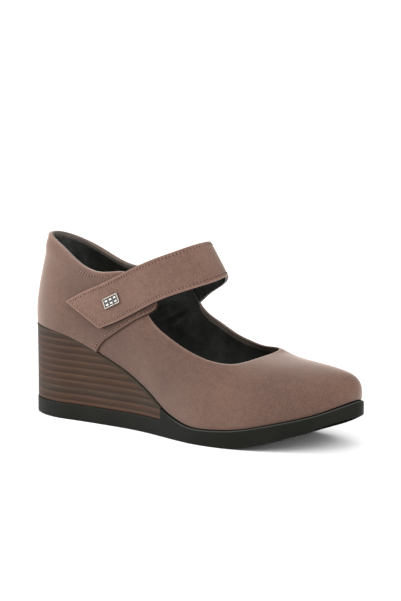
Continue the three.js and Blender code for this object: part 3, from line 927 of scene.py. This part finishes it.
# Soft trough with a low ridge beside it, along each crease
def creaseRelief(points, creases):
    total = np.zeros(points.shape[:-1])
    for side, x0, z0, x1, z1, width, depth in creases:
        start = np.array([x0 * mm - shoe["heelCentre"], z0 * mm])
        end = np.array([x1 * mm - shoe["heelCentre"], z1 * mm])
        line = end - start
        flat = points[..., [0, 2]] - start
        along = np.clip(flat @ line / (line @ line), 0, 1)
        away = flat - along[..., None] * line
        normal = np.array([-line[1], line[0]]) / np.linalg.norm(line)
        across = (away @ normal) / (width * mm)
        ends = np.linalg.norm(away, axis=-1) / (width * mm)
        fade = np.sin(np.pi * np.clip(along, 0.02, 0.98)) ** 0.5
        fade = fade * np.exp(-np.maximum(ends - np.abs(across), 0) ** 2)
        profile = -np.exp(-across**2) + 0.6 * np.exp(-((across - 1.6) ** 2))
        total = total + profile * fade * depth * mm * (points[..., 1] * side > 0)
    return total


def makeLining():
    s = spread(0, around, stepsFor(340))[:-1][:, None]
    column = s[:, 0]
    bare = smooth(column, upperLook["bandEnd"] - 0.02, upperLook["bandEnd"] + 0.1)
    bare = bare * (1 - smooth(column, 27.0, 27.2))
    drop = dropShare(column, upperLook["liningDrop"]) * (1 - bare)
    drop = drop + dropShare(column, collarLook["sink"]) * collarShare(column)
    top = (1 - drop)[:, None]
    rise = spread(0, 1, stepsFor(80))[None, :]
    t = rise * top
    outside = offsetFace(s, t, -upperLook["leather"] - upperLook["liningGap"])
    skin = offsetFace(s, t, -shoe["wall"])
    relief = creaseRelief(skin, liningCreases)
    inner = skin - faceNormal(s, t) * relief[..., None]
    depth = shoe["wall"] - upperLook["leather"]
    rim = rolledRim(s, top, -upperLook["leather"], -shoe["wall"], 0.5 * depth, 8)
    loops = np.concatenate([outside, rim, inner[:, ::-1]], 1)
    closedPiece("upper_lining", loops, liningLeather, runsRound=True, sharp=60)


# Stitch row under the collar on the outer side, x and z in millimetres from the heel back and the floor
collarRow = [
    [40, 98.0],
    [45, 97.1],
    [50, 96.0],
    [58, 94.8],
    [66, 94.2],
    [74, 94.6],
    [82, 96.2],
    [90, 97.6],
]
quarterLook = {
    "edgeRadius": 0.55 * mm,
    "paleWidth": 0.6 * mm,
    "pucker": 0.2 * mm,  # small gathers under the collar's stitch row
    "puckerPitch": 2.5 * mm,
    "puckerReach": 4.5 * mm,
    "puckerAbove": 0.8 * mm,
    "puckerFull": 0.6 * mm,
    "puckerFrom": (44 * mm, 52 * mm),  # where they begin and end, from the heel back
    "puckerTo": (92 * mm, 98 * mm),
    "pale": 0.6,
    "thinned": 0.35,  # share of the leather's thickness that is left at its edges
    "rimRise": 0.35 * mm,
    "foldDepth": 0.12 * mm,  # how far off the lining the turned edge lies
}


# Lowest and highest t of the quarter's columns
def quarterReach(s):
    onOuter = s < toe
    x = outerFace(s, np.full_like(s, 0.5))[..., 0]
    seamX = outerSeam[0][0] * shoe["length"] - shoe["heelCentre"]
    tabX = tabTop[0][0] * shoe["length"] - shoe["heelCentre"]
    seam = np.where(onOuter, heightOn(outerSeam, x), heightOn(innerSeam, x))
    low = np.where(x > seamX, reachOf(s, seam), 0.0)
    edge = np.ones_like(s)
    tab = reachOf(s, heightOn(tabTop, x))
    high = np.where(onOuter & (x > tabX), tab, edge)
    return low, high, x


def makeQuarter():
    tabEnd = stationAt(outerSeam[-1][0] * shoe["length"])
    innerEnd = around - stationAt(innerSeam[-1][0] * shoe["length"])
    outerColumns = spread(tabEnd, 0, stepsFor(330))[:-1]
    innerColumns = spread(around, innerEnd, stepsFor(120))
    s = np.concatenate([outerColumns, innerColumns])
    low, high, x = quarterReach(s)
    collar = collarShare(s)
    high = high - dropShare(s, collarLook["sink"]) * collar
    s = s[:, None]
    rows = spread(0, 1, stepsFor(84))[None, :]
    t = low[:, None] + (high - low)[:, None] * rows
    lie = shoe["quarterGap"]
    thick = shoe["overlay"]
    middle = offsetFace(s, t, lie)
    gaps = np.linalg.norm(np.diff(middle, axis=1), axis=-1)
    run = np.concatenate([np.zeros((len(s), 1)), np.cumsum(gaps, 1)], 1)
    fromLow = run
    fromHigh = run[:, -1:] - run
    columnGap = np.linalg.norm(np.diff(middle[:, :1], axis=0), axis=-1)
    fromFront = np.concatenate([[0], np.cumsum(columnGap[:, 0])])[:, None]
    fromBack = fromFront[-1:] - fromFront
    radius = quarterLook["edgeRadius"]

    def rounded(distance):
        part = np.clip(distance / radius, 0, 1)
        return np.sqrt(np.maximum(1 - (1 - part) ** 2, 0))

    onSeat = low[:, None] < 0.03
    fromEnds = np.minimum(fromFront, fromBack) + 0 * run
    seamed = np.where(onSeat, 1, rounded(fromLow)) * rounded(fromEnds)
    topEdge = np.where(collar[:, None] > 0.02, 1.0, rounded(fromHigh))
    fromHeel = (x + shoe["heelCentre"])[:, None]
    heelward = 1 - smooth(fromHeel, collarLook["padTo"] * 0.4, collarLook["padTo"])
    fromPad = (fromHigh - collarLook["padAt"]) / collarLook["padWidth"]
    thinned = quarterLook["thinned"]
    body = thick * (thinned + (1 - thinned) * seamed * topEdge)
    body = body + collarLook["pad"] * heelward * np.exp(-(fromPad ** 2))
    rowX, rowZ = np.array(collarRow).T * mm
    under = np.interp(x + shoe["heelCentre"], rowX, rowZ)[:, None] - middle[..., 2]
    here = smooth(fromHeel, *quarterLook["puckerFrom"]) * (1 - smooth(fromHeel, *quarterLook["puckerTo"]))
    here = here * (s < toe)
    above = quarterLook["puckerAbove"]
    fade = smooth(under, -above, quarterLook["puckerFull"])
    fade = fade * (1 - smooth(under, above, quarterLook["puckerReach"]))
    gathers = np.sin((fromHeel + under * 0.45) * 2 * np.pi / quarterLook["puckerPitch"])
    body = body + quarterLook["pucker"] * gathers * fade * here
    surface = offsetFace(s, t, lie + body)
    drawn = softness(surface) * smooth(fromLow, 0, 6 * mm) - tuckedIn(fromLow) * onSeat
    surface = surface + faceNormal(s, t) * drawn[..., None]
    top = high[:, None]
    collar = collar[:, None]
    innerAt = lie - (lie + shoe["wall"] + quarterLook["foldDepth"]) * collar
    outerAt = lie + thick * (thinned + (1 - thinned) * collar)
    rimRise = quarterLook["rimRise"] + (upperLook["collarRoll"] - quarterLook["rimRise"]) * collar
    rim = rolledRim(s, top, outerAt, innerAt, rimRise, 14)
    fold = dropShare(s[:, 0], upperLook["fold"])[:, None] * collar
    down = spread(0, 1, 6)[None, :]
    turned = offsetFace(s, top - fold * down, innerAt + 0 * down)
    back = offsetFace(s, t[:, ::-1] - fold * rows[:, ::-1] * 0.9, lie + 0 * rows)
    loops = evenLoops(np.concatenate([surface, rim, turned, back], 1))
    edge = surface.shape[1]
    dark = (bindingLeather, edge + 8, edge + 12 + turned.shape[1])

    # Painted highlight along the free edges and the rolled top edge
    def edgeHighlight(distance):
        return np.exp(-((distance / quarterLook["paleWidth"]) ** 2))

    free = np.maximum(edgeHighlight(fromHigh), edgeHighlight(fromEnds))
    pale = np.zeros(loops.shape[:2])
    pale[:, :edge] = np.maximum(free, np.where(onSeat, 0, edgeHighlight(fromLow))) * quarterLook["pale"]
    pale[:, edge:edge + 6] = upperLook["pale"]
    piece = closedPiece("quarter_leather", loops, nubuck, sharp=60, second=dark, pale=pale)
    paintNapAndShade(piece, napAndShadePatches["upper"])
    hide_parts("quarter")


# Strap
strapLook = {
    "thickness": 2.4 * mm,
    "lining": 1.0 * mm,
    "edgeRadius": 0.8 * mm,
    "stitchInset": 2.3 * mm,
    "pale": 0.7,
    "paleWidth": 0.7 * mm,
    "channel": 0.14 * mm,
    "channelWidth": 0.45 * mm,
    "puff": 0.12 * mm,  # between the stitch rows
    "puffFull": 7 * mm,
    "threadSink": 0.10 * mm,  # threads lie this far below the leather beside them
    "liningInset": 0.006,  # share of the width
    "liningGap": 0.02 * mm,
    "underShadow": 0.75 * mm,  # dark bead under the front edge: painted shadow in the gap under the strap
    "underShadowFrom": 0.12,  # stations of the strap
    "underShadowTo": 5.4,
    "underShadowPart": 0.008,
    "underShadowLift": 0.15 * mm,
}
strapHalfSpan = halfBall + shoe["quarterGap"] + shoe["overlay"] + shoe["gap"]
strapScale = [shoe["length"], strapHalfSpan, shoe["backHeight"]] * 2 + [strapHalfSpan]
strapShift = [shoe["heelCentre"], 0, 0, shoe["heelCentre"], 0, 0, 0]
strapCurves = [curveThrough([row[i] * scale - shift for row in strapRows], closed=False)
               for i, (scale, shift) in enumerate(zip(strapScale, strapShift))]
strapEnd = len(strapRows) - 1


def strapFace(s, part):
    s, part = np.broadcast_arrays(np.asarray(s, float), np.asarray(part, float))
    values = [curve(s) for curve in strapCurves]
    front = np.stack(values[:3], -1)
    rear = np.stack(values[3:6], -1)
    point = front * (1 - part[..., None]) + rear * part[..., None]
    bow = np.sign(point[..., 1]) * values[6] * 4 * part * (1 - part)
    return point + np.stack([0 * bow, bow, 0 * bow], -1)


def strapNormal(s, part):
    step = 0.02
    along = strapFace(s + step, part) - strapFace(s - step, part)
    across = strapFace(s, part + step) - strapFace(s, part - step)
    return unit(np.cross(along, across))


def strapPoint(s, part, height):
    return strapFace(s, part) + strapNormal(s, part) * np.asarray(height)[..., None]


def strapWidth(s):
    return np.linalg.norm(strapFace(s, 1.0) - strapFace(s, 0.0), axis=-1)


# Distance of a place on the strap from its long edges and from its free end
def strapDistances(s, part):
    side = strapWidth(s) * np.minimum(part, 1 - part)
    start = strapFace(np.zeros_like(s * part), part)
    edge = unit(strapFace(np.zeros(1), np.ones(1)) - strapFace(np.zeros(1), np.zeros(1)))[0]
    away = strapFace(s, part) - start
    away = away - (away @ edge)[..., None] * edge
    end = np.linalg.norm(away, axis=-1)
    return side, end


def strapColumns():
    near = spread(0, 0.25, stepsFor(50))[:-1]
    return np.concatenate([near, spread(0.25, strapEnd, stepsFor(330))])[:, None]


# Places across, closer together near both edges
def acrossRows(count):
    even = spread(0, 1, count)
    return (even - np.sin(2 * np.pi * even) * 0.09)[None, :]


def makeStrap():
    s = strapColumns()
    part = acrossRows(stepsFor(84))
    side, end = strapDistances(s, part)
    radius = strapLook["edgeRadius"]
    near = np.minimum(side, end)
    dome = np.sqrt(np.maximum(1 - (1 - np.clip(near / radius, 0, 1)) ** 2, 0))
    stitchAway = np.abs(near - strapLook["stitchInset"])
    channel = strapLook["channel"] * np.exp(-(stitchAway / strapLook["channelWidth"]) ** 2)
    puff = strapLook["puff"] * smooth(near, strapLook["stitchInset"], strapLook["puffFull"])
    height = strapLook["thickness"] - radius * (1 - dome) - channel + puff - strapLook["puff"]
    top = strapPoint(s, part, height)
    top = top + strapNormal(s, part) * (softness(top) * 0.6)[..., None]
    bottom = strapPoint(s, part, np.full_like(height, strapLook["lining"]))
    loops = np.concatenate([top, bottom[:, ::-1]], 1)
    # Painted highlight along the strap's edges
    strapHighlight = np.exp(-((near / strapLook["paleWidth"]) ** 2)) * strapLook["pale"]
    pale = np.concatenate([strapHighlight, 0 * strapHighlight], 1)
    piece = closedPiece("strap_leather", loops, strapNubuck, sharp=60, pale=pale)
    paintNapAndShade(piece, napAndShadePatches["strap"])
    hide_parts("strap")
    inset = strapLook["liningInset"]
    partIn = inset + (1 - 2 * inset) * acrossRows(stepsFor(12))
    sIn = np.maximum(strapColumns(), 0.06)
    sIn[0] = 0.05
    flat = np.zeros(np.broadcast(sIn, partIn).shape)
    liningTop = strapPoint(sIn, partIn, flat + strapLook["lining"] - strapLook["liningGap"])
    liningLow = strapPoint(sIn, partIn, flat)
    keep = np.unique(sIn[:, 0], return_index=True)[1]
    loops = np.concatenate([liningTop[keep], liningLow[keep][:, ::-1]], 1)
    closedPiece("strap_lining", loops, strapLining, sharp=60)


# Thin beads laid along a line on the surface
def makeBead(name, path, radius, material):
    path = np.asarray(path)
    along = unit(np.gradient(path, axis=0))
    side = unit(np.cross(along, [0.3, 0.2, 1.0]))
    up = np.cross(side, along)
    angles = spread(0, 2 * math.pi, 8)[:-1]
    ring = np.cos(angles)[None, :, None] * side[:, None] + np.sin(angles)[None, :, None] * up[:, None]
    taper = np.minimum(1, np.minimum(np.arange(len(path)), np.arange(len(path))[::-1]) / 3 + 0.2)
    loops = path[:, None] + ring * radius * taper[:, None, None]
    return closedPiece(name, loops, material, sharp=80)


# Stitches: threads laid end to end along a path, with needle holes between them, by geometry nodes
stitchLook = {
    "pitch": 2.3 * mm,
    "length": 1.3 * mm,
    "radius": 0.32 * mm,
    "hole": 0.56 * mm,
    "sink": 0.18 * mm,  # how far the holes lie below the threads
    "vary": 0.1,
    "inset": 1.9 * mm,  # from the quarter's front seam
    "quarterSink": 0.05 * mm,
}


def stitchTree():
    tree = bpy.data.node_groups.new("stitch_row", "GeometryNodeTree")
    face = tree.interface
    face.new_socket("Geometry", in_out="INPUT", socket_type="NodeSocketGeometry")
    face.new_socket("Geometry", in_out="OUTPUT", socket_type="NodeSocketGeometry")
    for name, kind in (("Pitch", "Float"), ("Start", "Float"), ("Length", "Float"), ("Radius", "Float"),
                       ("Seed", "Int"), ("Material", "Material")):
        face.new_socket(name, in_out="INPUT", socket_type="NodeSocket" + kind)
    source = add(tree, "NodeGroupInput")
    path = add(tree, "GeometryNodeMeshToCurve", {"Mesh": source.outputs["Geometry"]})
    trimmed = add(tree, "GeometryNodeTrimCurve", {"Curve": path.outputs["Curve"]}, mode="LENGTH")
    span = add(tree, "GeometryNodeCurveLength", {"Curve": path.outputs["Curve"]}).outputs["Length"]
    tree.links.new(source.outputs["Start"], trimmed.inputs[4])
    tree.links.new(span, trimmed.inputs[5])
    points = add(tree, "GeometryNodeResampleCurve", {"Curve": trimmed.outputs["Curve"]}, mode="LENGTH")
    tree.links.new(source.outputs["Pitch"], points.inputs["Length"])
    tangent = add(tree, "GeometryNodeInputTangent").outputs["Tangent"]
    turn = add(tree, "FunctionNodeAlignRotationToVector", {"Vector": tangent}, axis="X")
    bead = add(tree, "GeometryNodeMeshUVSphere", {"Segments": 10, "Rings": 6, "Radius": 0.5})
    size = add(tree, "ShaderNodeCombineXYZ")
    width = multiply(tree, source.outputs["Radius"], 2.0)
    tree.links.new(source.outputs["Length"], size.inputs["X"])
    tree.links.new(width, size.inputs["Y"])
    tree.links.new(width, size.inputs["Z"])
    vary = add(tree, "FunctionNodeRandomValue", data_type="FLOAT")
    vary.inputs[2].default_value = 1 - stitchLook["vary"]
    vary.inputs[3].default_value = 1 + stitchLook["vary"]
    tree.links.new(source.outputs["Seed"], vary.inputs["Seed"])
    placed = add(tree, "GeometryNodeInstanceOnPoints", {
        "Points": points.outputs["Curve"],
        "Instance": bead.outputs["Mesh"],
        "Rotation": turn.outputs["Rotation"],
        "Scale": scaled(tree, size.outputs["Vector"], vary.outputs[1]),
    })
    real = add(tree, "GeometryNodeRealizeInstances", {"Geometry": placed.outputs["Instances"]})
    painted = add(tree, "GeometryNodeSetMaterial", {"Geometry": real.outputs["Geometry"]})
    tree.links.new(source.outputs["Material"], painted.inputs["Material"])
    target = add(tree, "NodeGroupOutput")
    tree.links.new(painted.outputs["Geometry"], target.inputs["Geometry"])
    return tree


stitches = stitchTree()


def stitchedRow(name, path, start, length, radius, material, seed):
    mesh = bpy.data.meshes.new(name)
    edges = [(i, i + 1) for i in range(len(path) - 1)]
    mesh.from_pydata(np.asarray(path).tolist(), edges, [])
    carrier = bpy.data.objects.new(name + "_path", mesh)
    bpy.context.collection.objects.link(carrier)
    modifier = carrier.modifiers.new("stitches", "NODES")
    modifier.node_group = stitches
    wanted = {"Pitch": stitchLook["pitch"], "Start": start, "Length": length, "Radius": radius,
              "Seed": seed, "Material": material}
    for item in stitches.interface.items_tree:
        if item.in_out == "INPUT" and item.name in wanted:
            modifier[item.identifier] = wanted[item.name]
    graph = bpy.context.evaluated_depsgraph_get()
    made = bpy.data.meshes.new_from_object(carrier.evaluated_get(graph))
    bpy.data.objects.remove(carrier)
    made.name = name
    made.shade_smooth()
    piece = bpy.data.objects.new(name, made)
    bpy.context.collection.objects.link(piece)
    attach(piece, bodyName)
    return piece


# rowAt gives the row's path at a height over the leather; the holes lie deeper than the threads
def seam(name, rowAt, lift, seed):
    deeper = rowAt(lift - stitchLook["sink"])
    length, radius, hole = stitchLook["length"], stitchLook["radius"], stitchLook["hole"]
    stitchedRow(name + "_thread", rowAt(lift), 0.0, length, radius, thread, seed)
    stitchedRow(name + "_holes", deeper, stitchLook["pitch"] / 2, hole * 2.2, hole, needleHole, seed + 1)


def makeStrapStitches():
    inset = strapLook["stitchInset"]
    lift = strapLook["thickness"] - strapLook["channel"] - strapLook["threadSink"]
    along = spread(0, strapEnd - 0.4, 400)
    share = inset / strapWidth(along)
    rearEnd = strapDistances(along[:, None], np.ones((1, 1)))[1]
    frontEnd = strapDistances(along[:, None], np.zeros((1, 1)))[1]
    rearFrom = float(np.interp(inset, rearEnd[:60, 0], along[:60]))
    frontFrom = float(np.interp(inset, frontEnd[:60, 0], along[:60]))
    keepRear = along > rearFrom
    keepFront = along > frontFrom
    across = spread(0, 1, 30)
    stations = np.concatenate([
        along[keepRear][::-1],
        (rearFrom + (frontFrom - rearFrom) * across)[1:-1],
        along[keepFront],
        np.full(30, along[-1]),
    ])
    shares = np.concatenate([
        (1 - share[keepRear])[::-1],
        (1 - share[0] - (1 - 2 * share[0]) * across)[1:-1],
        share[keepFront],
        (share[-1] + (1 - 2 * share[-1]) * across)[1:],
    ])

    def rowAt(height):
        return strapPoint(stations, shares, np.full_like(stations, height))

    seam("strap_seam", rowAt, lift, 3)


# A dark bead along the strap's front edge: painted shadow in the gap between strap and tab
def makeUnderShadow():
    look = strapLook
    s = spread(look["underShadowFrom"], look["underShadowTo"], 260)
    path = strapPoint(s, np.full_like(s, look["underShadowPart"]), np.full_like(s, look["underShadowLift"]))
    makeBead("strap_under_shadow", path, look["underShadow"], strapShadowBead)


# Stitch rows on the quarter: under the collar and along its front seam
edgeLook = {
    "bead": 0.33 * mm,
    "out": 0.1 * mm,  # beyond the seam
    "sink": 0.75 * mm,
    "bindingBead": 0.28 * mm,
    "bindingLift": 0.12 * mm,
}


# Stations of one side whose column stands at each distance from the heel back
def stationsFor(x, t=0.5, inner=False):
    grid = np.linspace(0.3, 10, 3000)
    stations = around - grid if inner else grid
    xs = outerFace(stations, np.full_like(grid, t))[:, 0] + shoe["heelCentre"]
    found = np.interp(x, xs, grid)
    return around - found if inner else found


def onQuarter(x, z, lift, inner=False):
    s = stationsFor(x, 0.75, inner)
    t = reachOf(s, z)
    return offsetFace(s, t, shoe["quarterGap"] + shoe["overlay"] + lift)


# Line beside a seam of the quarter, inset from it
def seamPath(table, first, last, inset, lift, inner=False):
    line = np.array(table) * [shoe["length"], shoe["backHeight"]]
    steps = spread(first, last, 160)
    x = np.interp(steps, np.arange(len(line)), line[:, 0])
    z = np.interp(steps, np.arange(len(line)), line[:, 1])
    slope = unit(np.stack([np.gradient(x), np.gradient(z)], -1))
    return onQuarter(x - slope[:, 1] * inset, z + slope[:, 0] * inset, lift, inner)


def makeQuarterStitches():
    row = np.array(collarRow) * mm
    steps = spread(0, len(row) - 1, 160)
    x = curveThrough(row[:, 0], closed=False)(steps)
    z = curveThrough(row[:, 1], closed=False)(steps)
    lift = -stitchLook["quarterSink"]
    inset = stitchLook["inset"]
    outerLast, innerLast = len(outerSeam) - 2.2, len(innerSeam) - 1.2
    seam("collar_seam", lambda height: onQuarter(x, z, height), lift, 11)
    seam("quarter_seam", lambda height: seamPath(outerSeam, 0.15, outerLast, inset, height), lift, 21)
    seam("inner_seam", lambda height: seamPath(innerSeam, 0.15, innerLast, inset, height, True), lift, 31)
    # Dark beads tucked under the quarter's front edges: painted shade along the overlap seam
    for name, table, last, inner in (("quarter_seam_shade_outer", outerSeam, outerLast + 1, False),
                                     ("quarter_seam_shade_inner", innerSeam, innerLast, True)):
        path = seamPath(table, 0.05, last, -edgeLook["out"], -edgeLook["sink"], inner)
        makeBead(name, path, edgeLook["bead"], seamShadeLeather)


# Groove line of the binding inside the collar
def makeBindingSeam():
    s = spread(around - 8.0, around + 4.0, 260)
    s = np.where(s >= around, s - around, s)
    s = s[collarShare(s) > 0.5]
    top = 1 - dropShare(s, collarLook["sink"] + upperLook["bindingSeam"])
    path = offsetFace(s, top, -shoe["wall"] - edgeLook["bindingLift"])
    makeBead("binding_seam", path, edgeLook["bindingBead"], strapLining)


# Ornament: bright frame round a dark plate with two rows of small studs
ornament = {
    "width": 13.2 * mm,
    "height": 6.6 * mm,
    "border": 0.9 * mm,
    "frame": 1.3 * mm,
    "plate": 0.6 * mm,
    "stud": 0.45 * mm,
    "corner": 0.5 * mm,
    "leastCorner": 0.05 * mm,
    "plateGap": 0.02 * mm,
    "studSink": 0.1 * mm,
    "columns": 3,
    "rows": 2,
    "along": 2.21,  # its place on the strap
    "across": 0.5,
    "lift": 0.12 * mm,
}
squareCorners = ((-1, -1), (1, -1), (1, 1), (-1, 1))


def ornamentPlace():
    s, part = np.array(ornament["along"]), np.array(ornament["across"])
    normal = strapNormal(s, part)
    ahead = strapFace(s + 0.4, part) - strapFace(s - 0.4, part)
    right = unit(ahead - normal * (ahead @ normal))
    up = np.cross(normal, right)
    origin = strapPoint(s, part, np.array(strapLook["thickness"] + ornament["lift"]))
    return np.stack([right, up, normal], 0), origin


def placed(points):
    axes, origin = ornamentPlace()
    return np.asarray(points) @ axes + origin


# One ring with a rounded section and small round corners
def makeFrame():
    profile = []
    for angle in spread(0, math.pi, 12):
        out = ornament["border"] / 2 * (1 - math.cos(angle))
        lift = ornament["frame"] * (0.55 + 0.45 * math.sin(angle))
        profile.append((out, lift))
    profile = [(0, 0)] + profile + [(ornament["border"], 0)]
    halfWidth, halfHeight = ornament["width"] / 2, ornament["height"] / 2
    loops = []
    for quarterTurns, (cx, cy) in enumerate(((1, 1), (-1, 1), (-1, -1), (1, -1))):
        for turn in spread(0, 1, 4):
            angle = math.radians(90 * quarterTurns + 90 * turn)
            loop = []
            for inset, lift in profile:
                bend = max(ornament["corner"] - inset, ornament["leastCorner"])
                x = cx * (halfWidth - inset - bend) + math.cos(angle) * bend
                y = cy * (halfHeight - inset - bend) + math.sin(angle) * bend
                loop.append((x, y, lift))
            loops.append(loop)
    loops = placed(np.array(loops))
    piece = closedPiece("ornament_frame_metal", loops, silver, runsRound=True, sharp=35)
    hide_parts("ornament_frame")


def makePlate():
    inner = ornament["border"] + ornament["plateGap"]
    width, height = ornament["width"] - 2 * inner, ornament["height"] - 2 * inner
    points = [(x * width / 2, y * height / 2, z) for z in (0, ornament["plate"]) for x, y in squareCorners]
    faces = [[3, 2, 1, 0], [4, 5, 6, 7], [0, 1, 5, 4], [1, 2, 6, 5], [2, 3, 7, 6], [3, 0, 4, 7]]
    piece = pieceFrom("ornament_field", placed(points), faces, [enamel], 20)
    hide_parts("ornament_plate")
    studs, sides = [], []
    sink = ornament["studSink"]
    pitchX, pitchY = width / ornament["columns"], height / ornament["rows"]
    for i in range(ornament["columns"]):
        for j in range(ornament["rows"]):
            cx = -width / 2 + (i + 0.5) * pitchX
            cy = -height / 2 + (j + 0.5) * pitchY
            first = len(studs)
            for share, lift in ((0.27, 0.0), (0.26, 0.4), (0.2, 1.0)):
                for dx, dy in squareCorners:
                    z = ornament["plate"] - sink + (ornament["stud"] + sink) * lift
                    studs.append((cx + dx * share * pitchX, cy + dy * share * pitchY, z))
            for ring in (0, 4):
                low = first + ring
                for k in range(4):
                    n = (k + 1) % 4
                    sides.append([low + k, low + n, low + 4 + n, low + 4 + k])
            sides.append([first + 8, first + 9, first + 10, first + 11])
            sides.append([first + 3, first + 2, first + 1, first + 0])
    pieceFrom("ornament_studs", placed(studs), sides, [satinSilver], 20)


# Floor, light and camera
studio = {
    "floorSize": 60.0,
    "sky": 0.83,
    "sun": 2.3,
    "sunSpread": 40.0,  # degrees, wide for soft shadows
    "sunFrom": (0.8, -0.85, 1.0),
    "lamps": {  # power and place
        "window": (18.0, (-0.85, -0.75, 0.5)),
        "toeLamp": (10.0, (1.25, -0.3, 0.55)),
    },
    "lampWidth": 0.5,
    "lampHeight": 0.8,
    "lampAim": (0.0, 0.0, 0.06),
    "floorColour": (0.82, 0.82, 0.82, 1),
}


def makeFloor():
    size = studio["floorSize"]
    mesh = bpy.data.meshes.new("floor")
    mesh.from_pydata([(x * size, y * size, 0) for x, y in squareCorners], [], [[0, 1, 2, 3]])
    floor = bpy.data.objects.new("floor", mesh)
    bpy.context.collection.objects.link(floor)
    material, tree, surface = treeOf("pale_floor")
    setInputs(tree, surface, {
        "Base Color": studio["floorColour"],
        "Roughness": 0.9,
        "Specular IOR Level": 0.0,
    })
    mesh.materials.append(material)


def aimed(name, data, place, aim):
    light = bpy.data.objects.new(name, data)
    bpy.context.collection.objects.link(light)
    light.location = place
    light.rotation_euler = (Vector(aim) - Vector(place)).to_track_quat("-Z", "Y").to_euler()


def makeLight():
    world = bpy.data.worlds.new("studio")
    bpy.context.scene.world = world
    world.use_nodes = True
    sky = world.node_tree.nodes["Background"]
    setInputs(world.node_tree, sky, {"Color": (1, 1, 1, 1), "Strength": studio["sky"]})
    sun = bpy.data.lights.new("sun", "SUN")
    sun.energy = studio["sun"]
    sun.angle = math.radians(studio["sunSpread"])
    aimed("sun", sun, studio["sunFrom"], (0, 0, 0))
    for name, (power, place) in studio["lamps"].items():
        panel = bpy.data.lights.new(name, "AREA")
        panel.shape = "RECTANGLE"
        panel.size = studio["lampWidth"]
        panel.size_y = studio["lampHeight"]
        panel.energy = power
        aimed(name, panel, place, studio["lampAim"])


camera = {
    "azimuth": 38.0,
    "elevation": 8.46,
    "distance": 1.4453,
    "target": (0.0988, 0.0, 0.0811),
    "lens": 139.8,
}


def makeCamera():
    data = bpy.data.cameras.new("camera")
    data.sensor_width = 36
    data.sensor_fit = "AUTO"
    data.lens = camera["lens"]
    view = bpy.data.objects.new("camera", data)
    bpy.context.collection.objects.link(view)
    a, e = math.radians(camera["azimuth"]), math.radians(camera["elevation"])
    back = Vector((math.sin(a) * math.cos(e), -math.cos(a) * math.cos(e), math.sin(e)))
    target = Vector(camera["target"])
    view.location = target + back * camera["distance"]
    view.rotation_euler = back.to_track_quat("Z", "Y").to_euler()
    bpy.context.scene.camera = view


makeCamera()
makeFloor()
makeLight()
bpy.context.scene.view_settings.view_transform = "Standard"
print("stage set")
makeOutsole()
makeWedge()
makeInsole()
print("sole made")
makeVamp()
makeLining()
makeQuarter()
print("upper made")
makeStrap()
makeStrapStitches()
makeUnderShadow()
makeQuarterStitches()
makeBindingSeam()
print("strap and stitches made")
makeFrame()
makePlate()
print("ornament made")
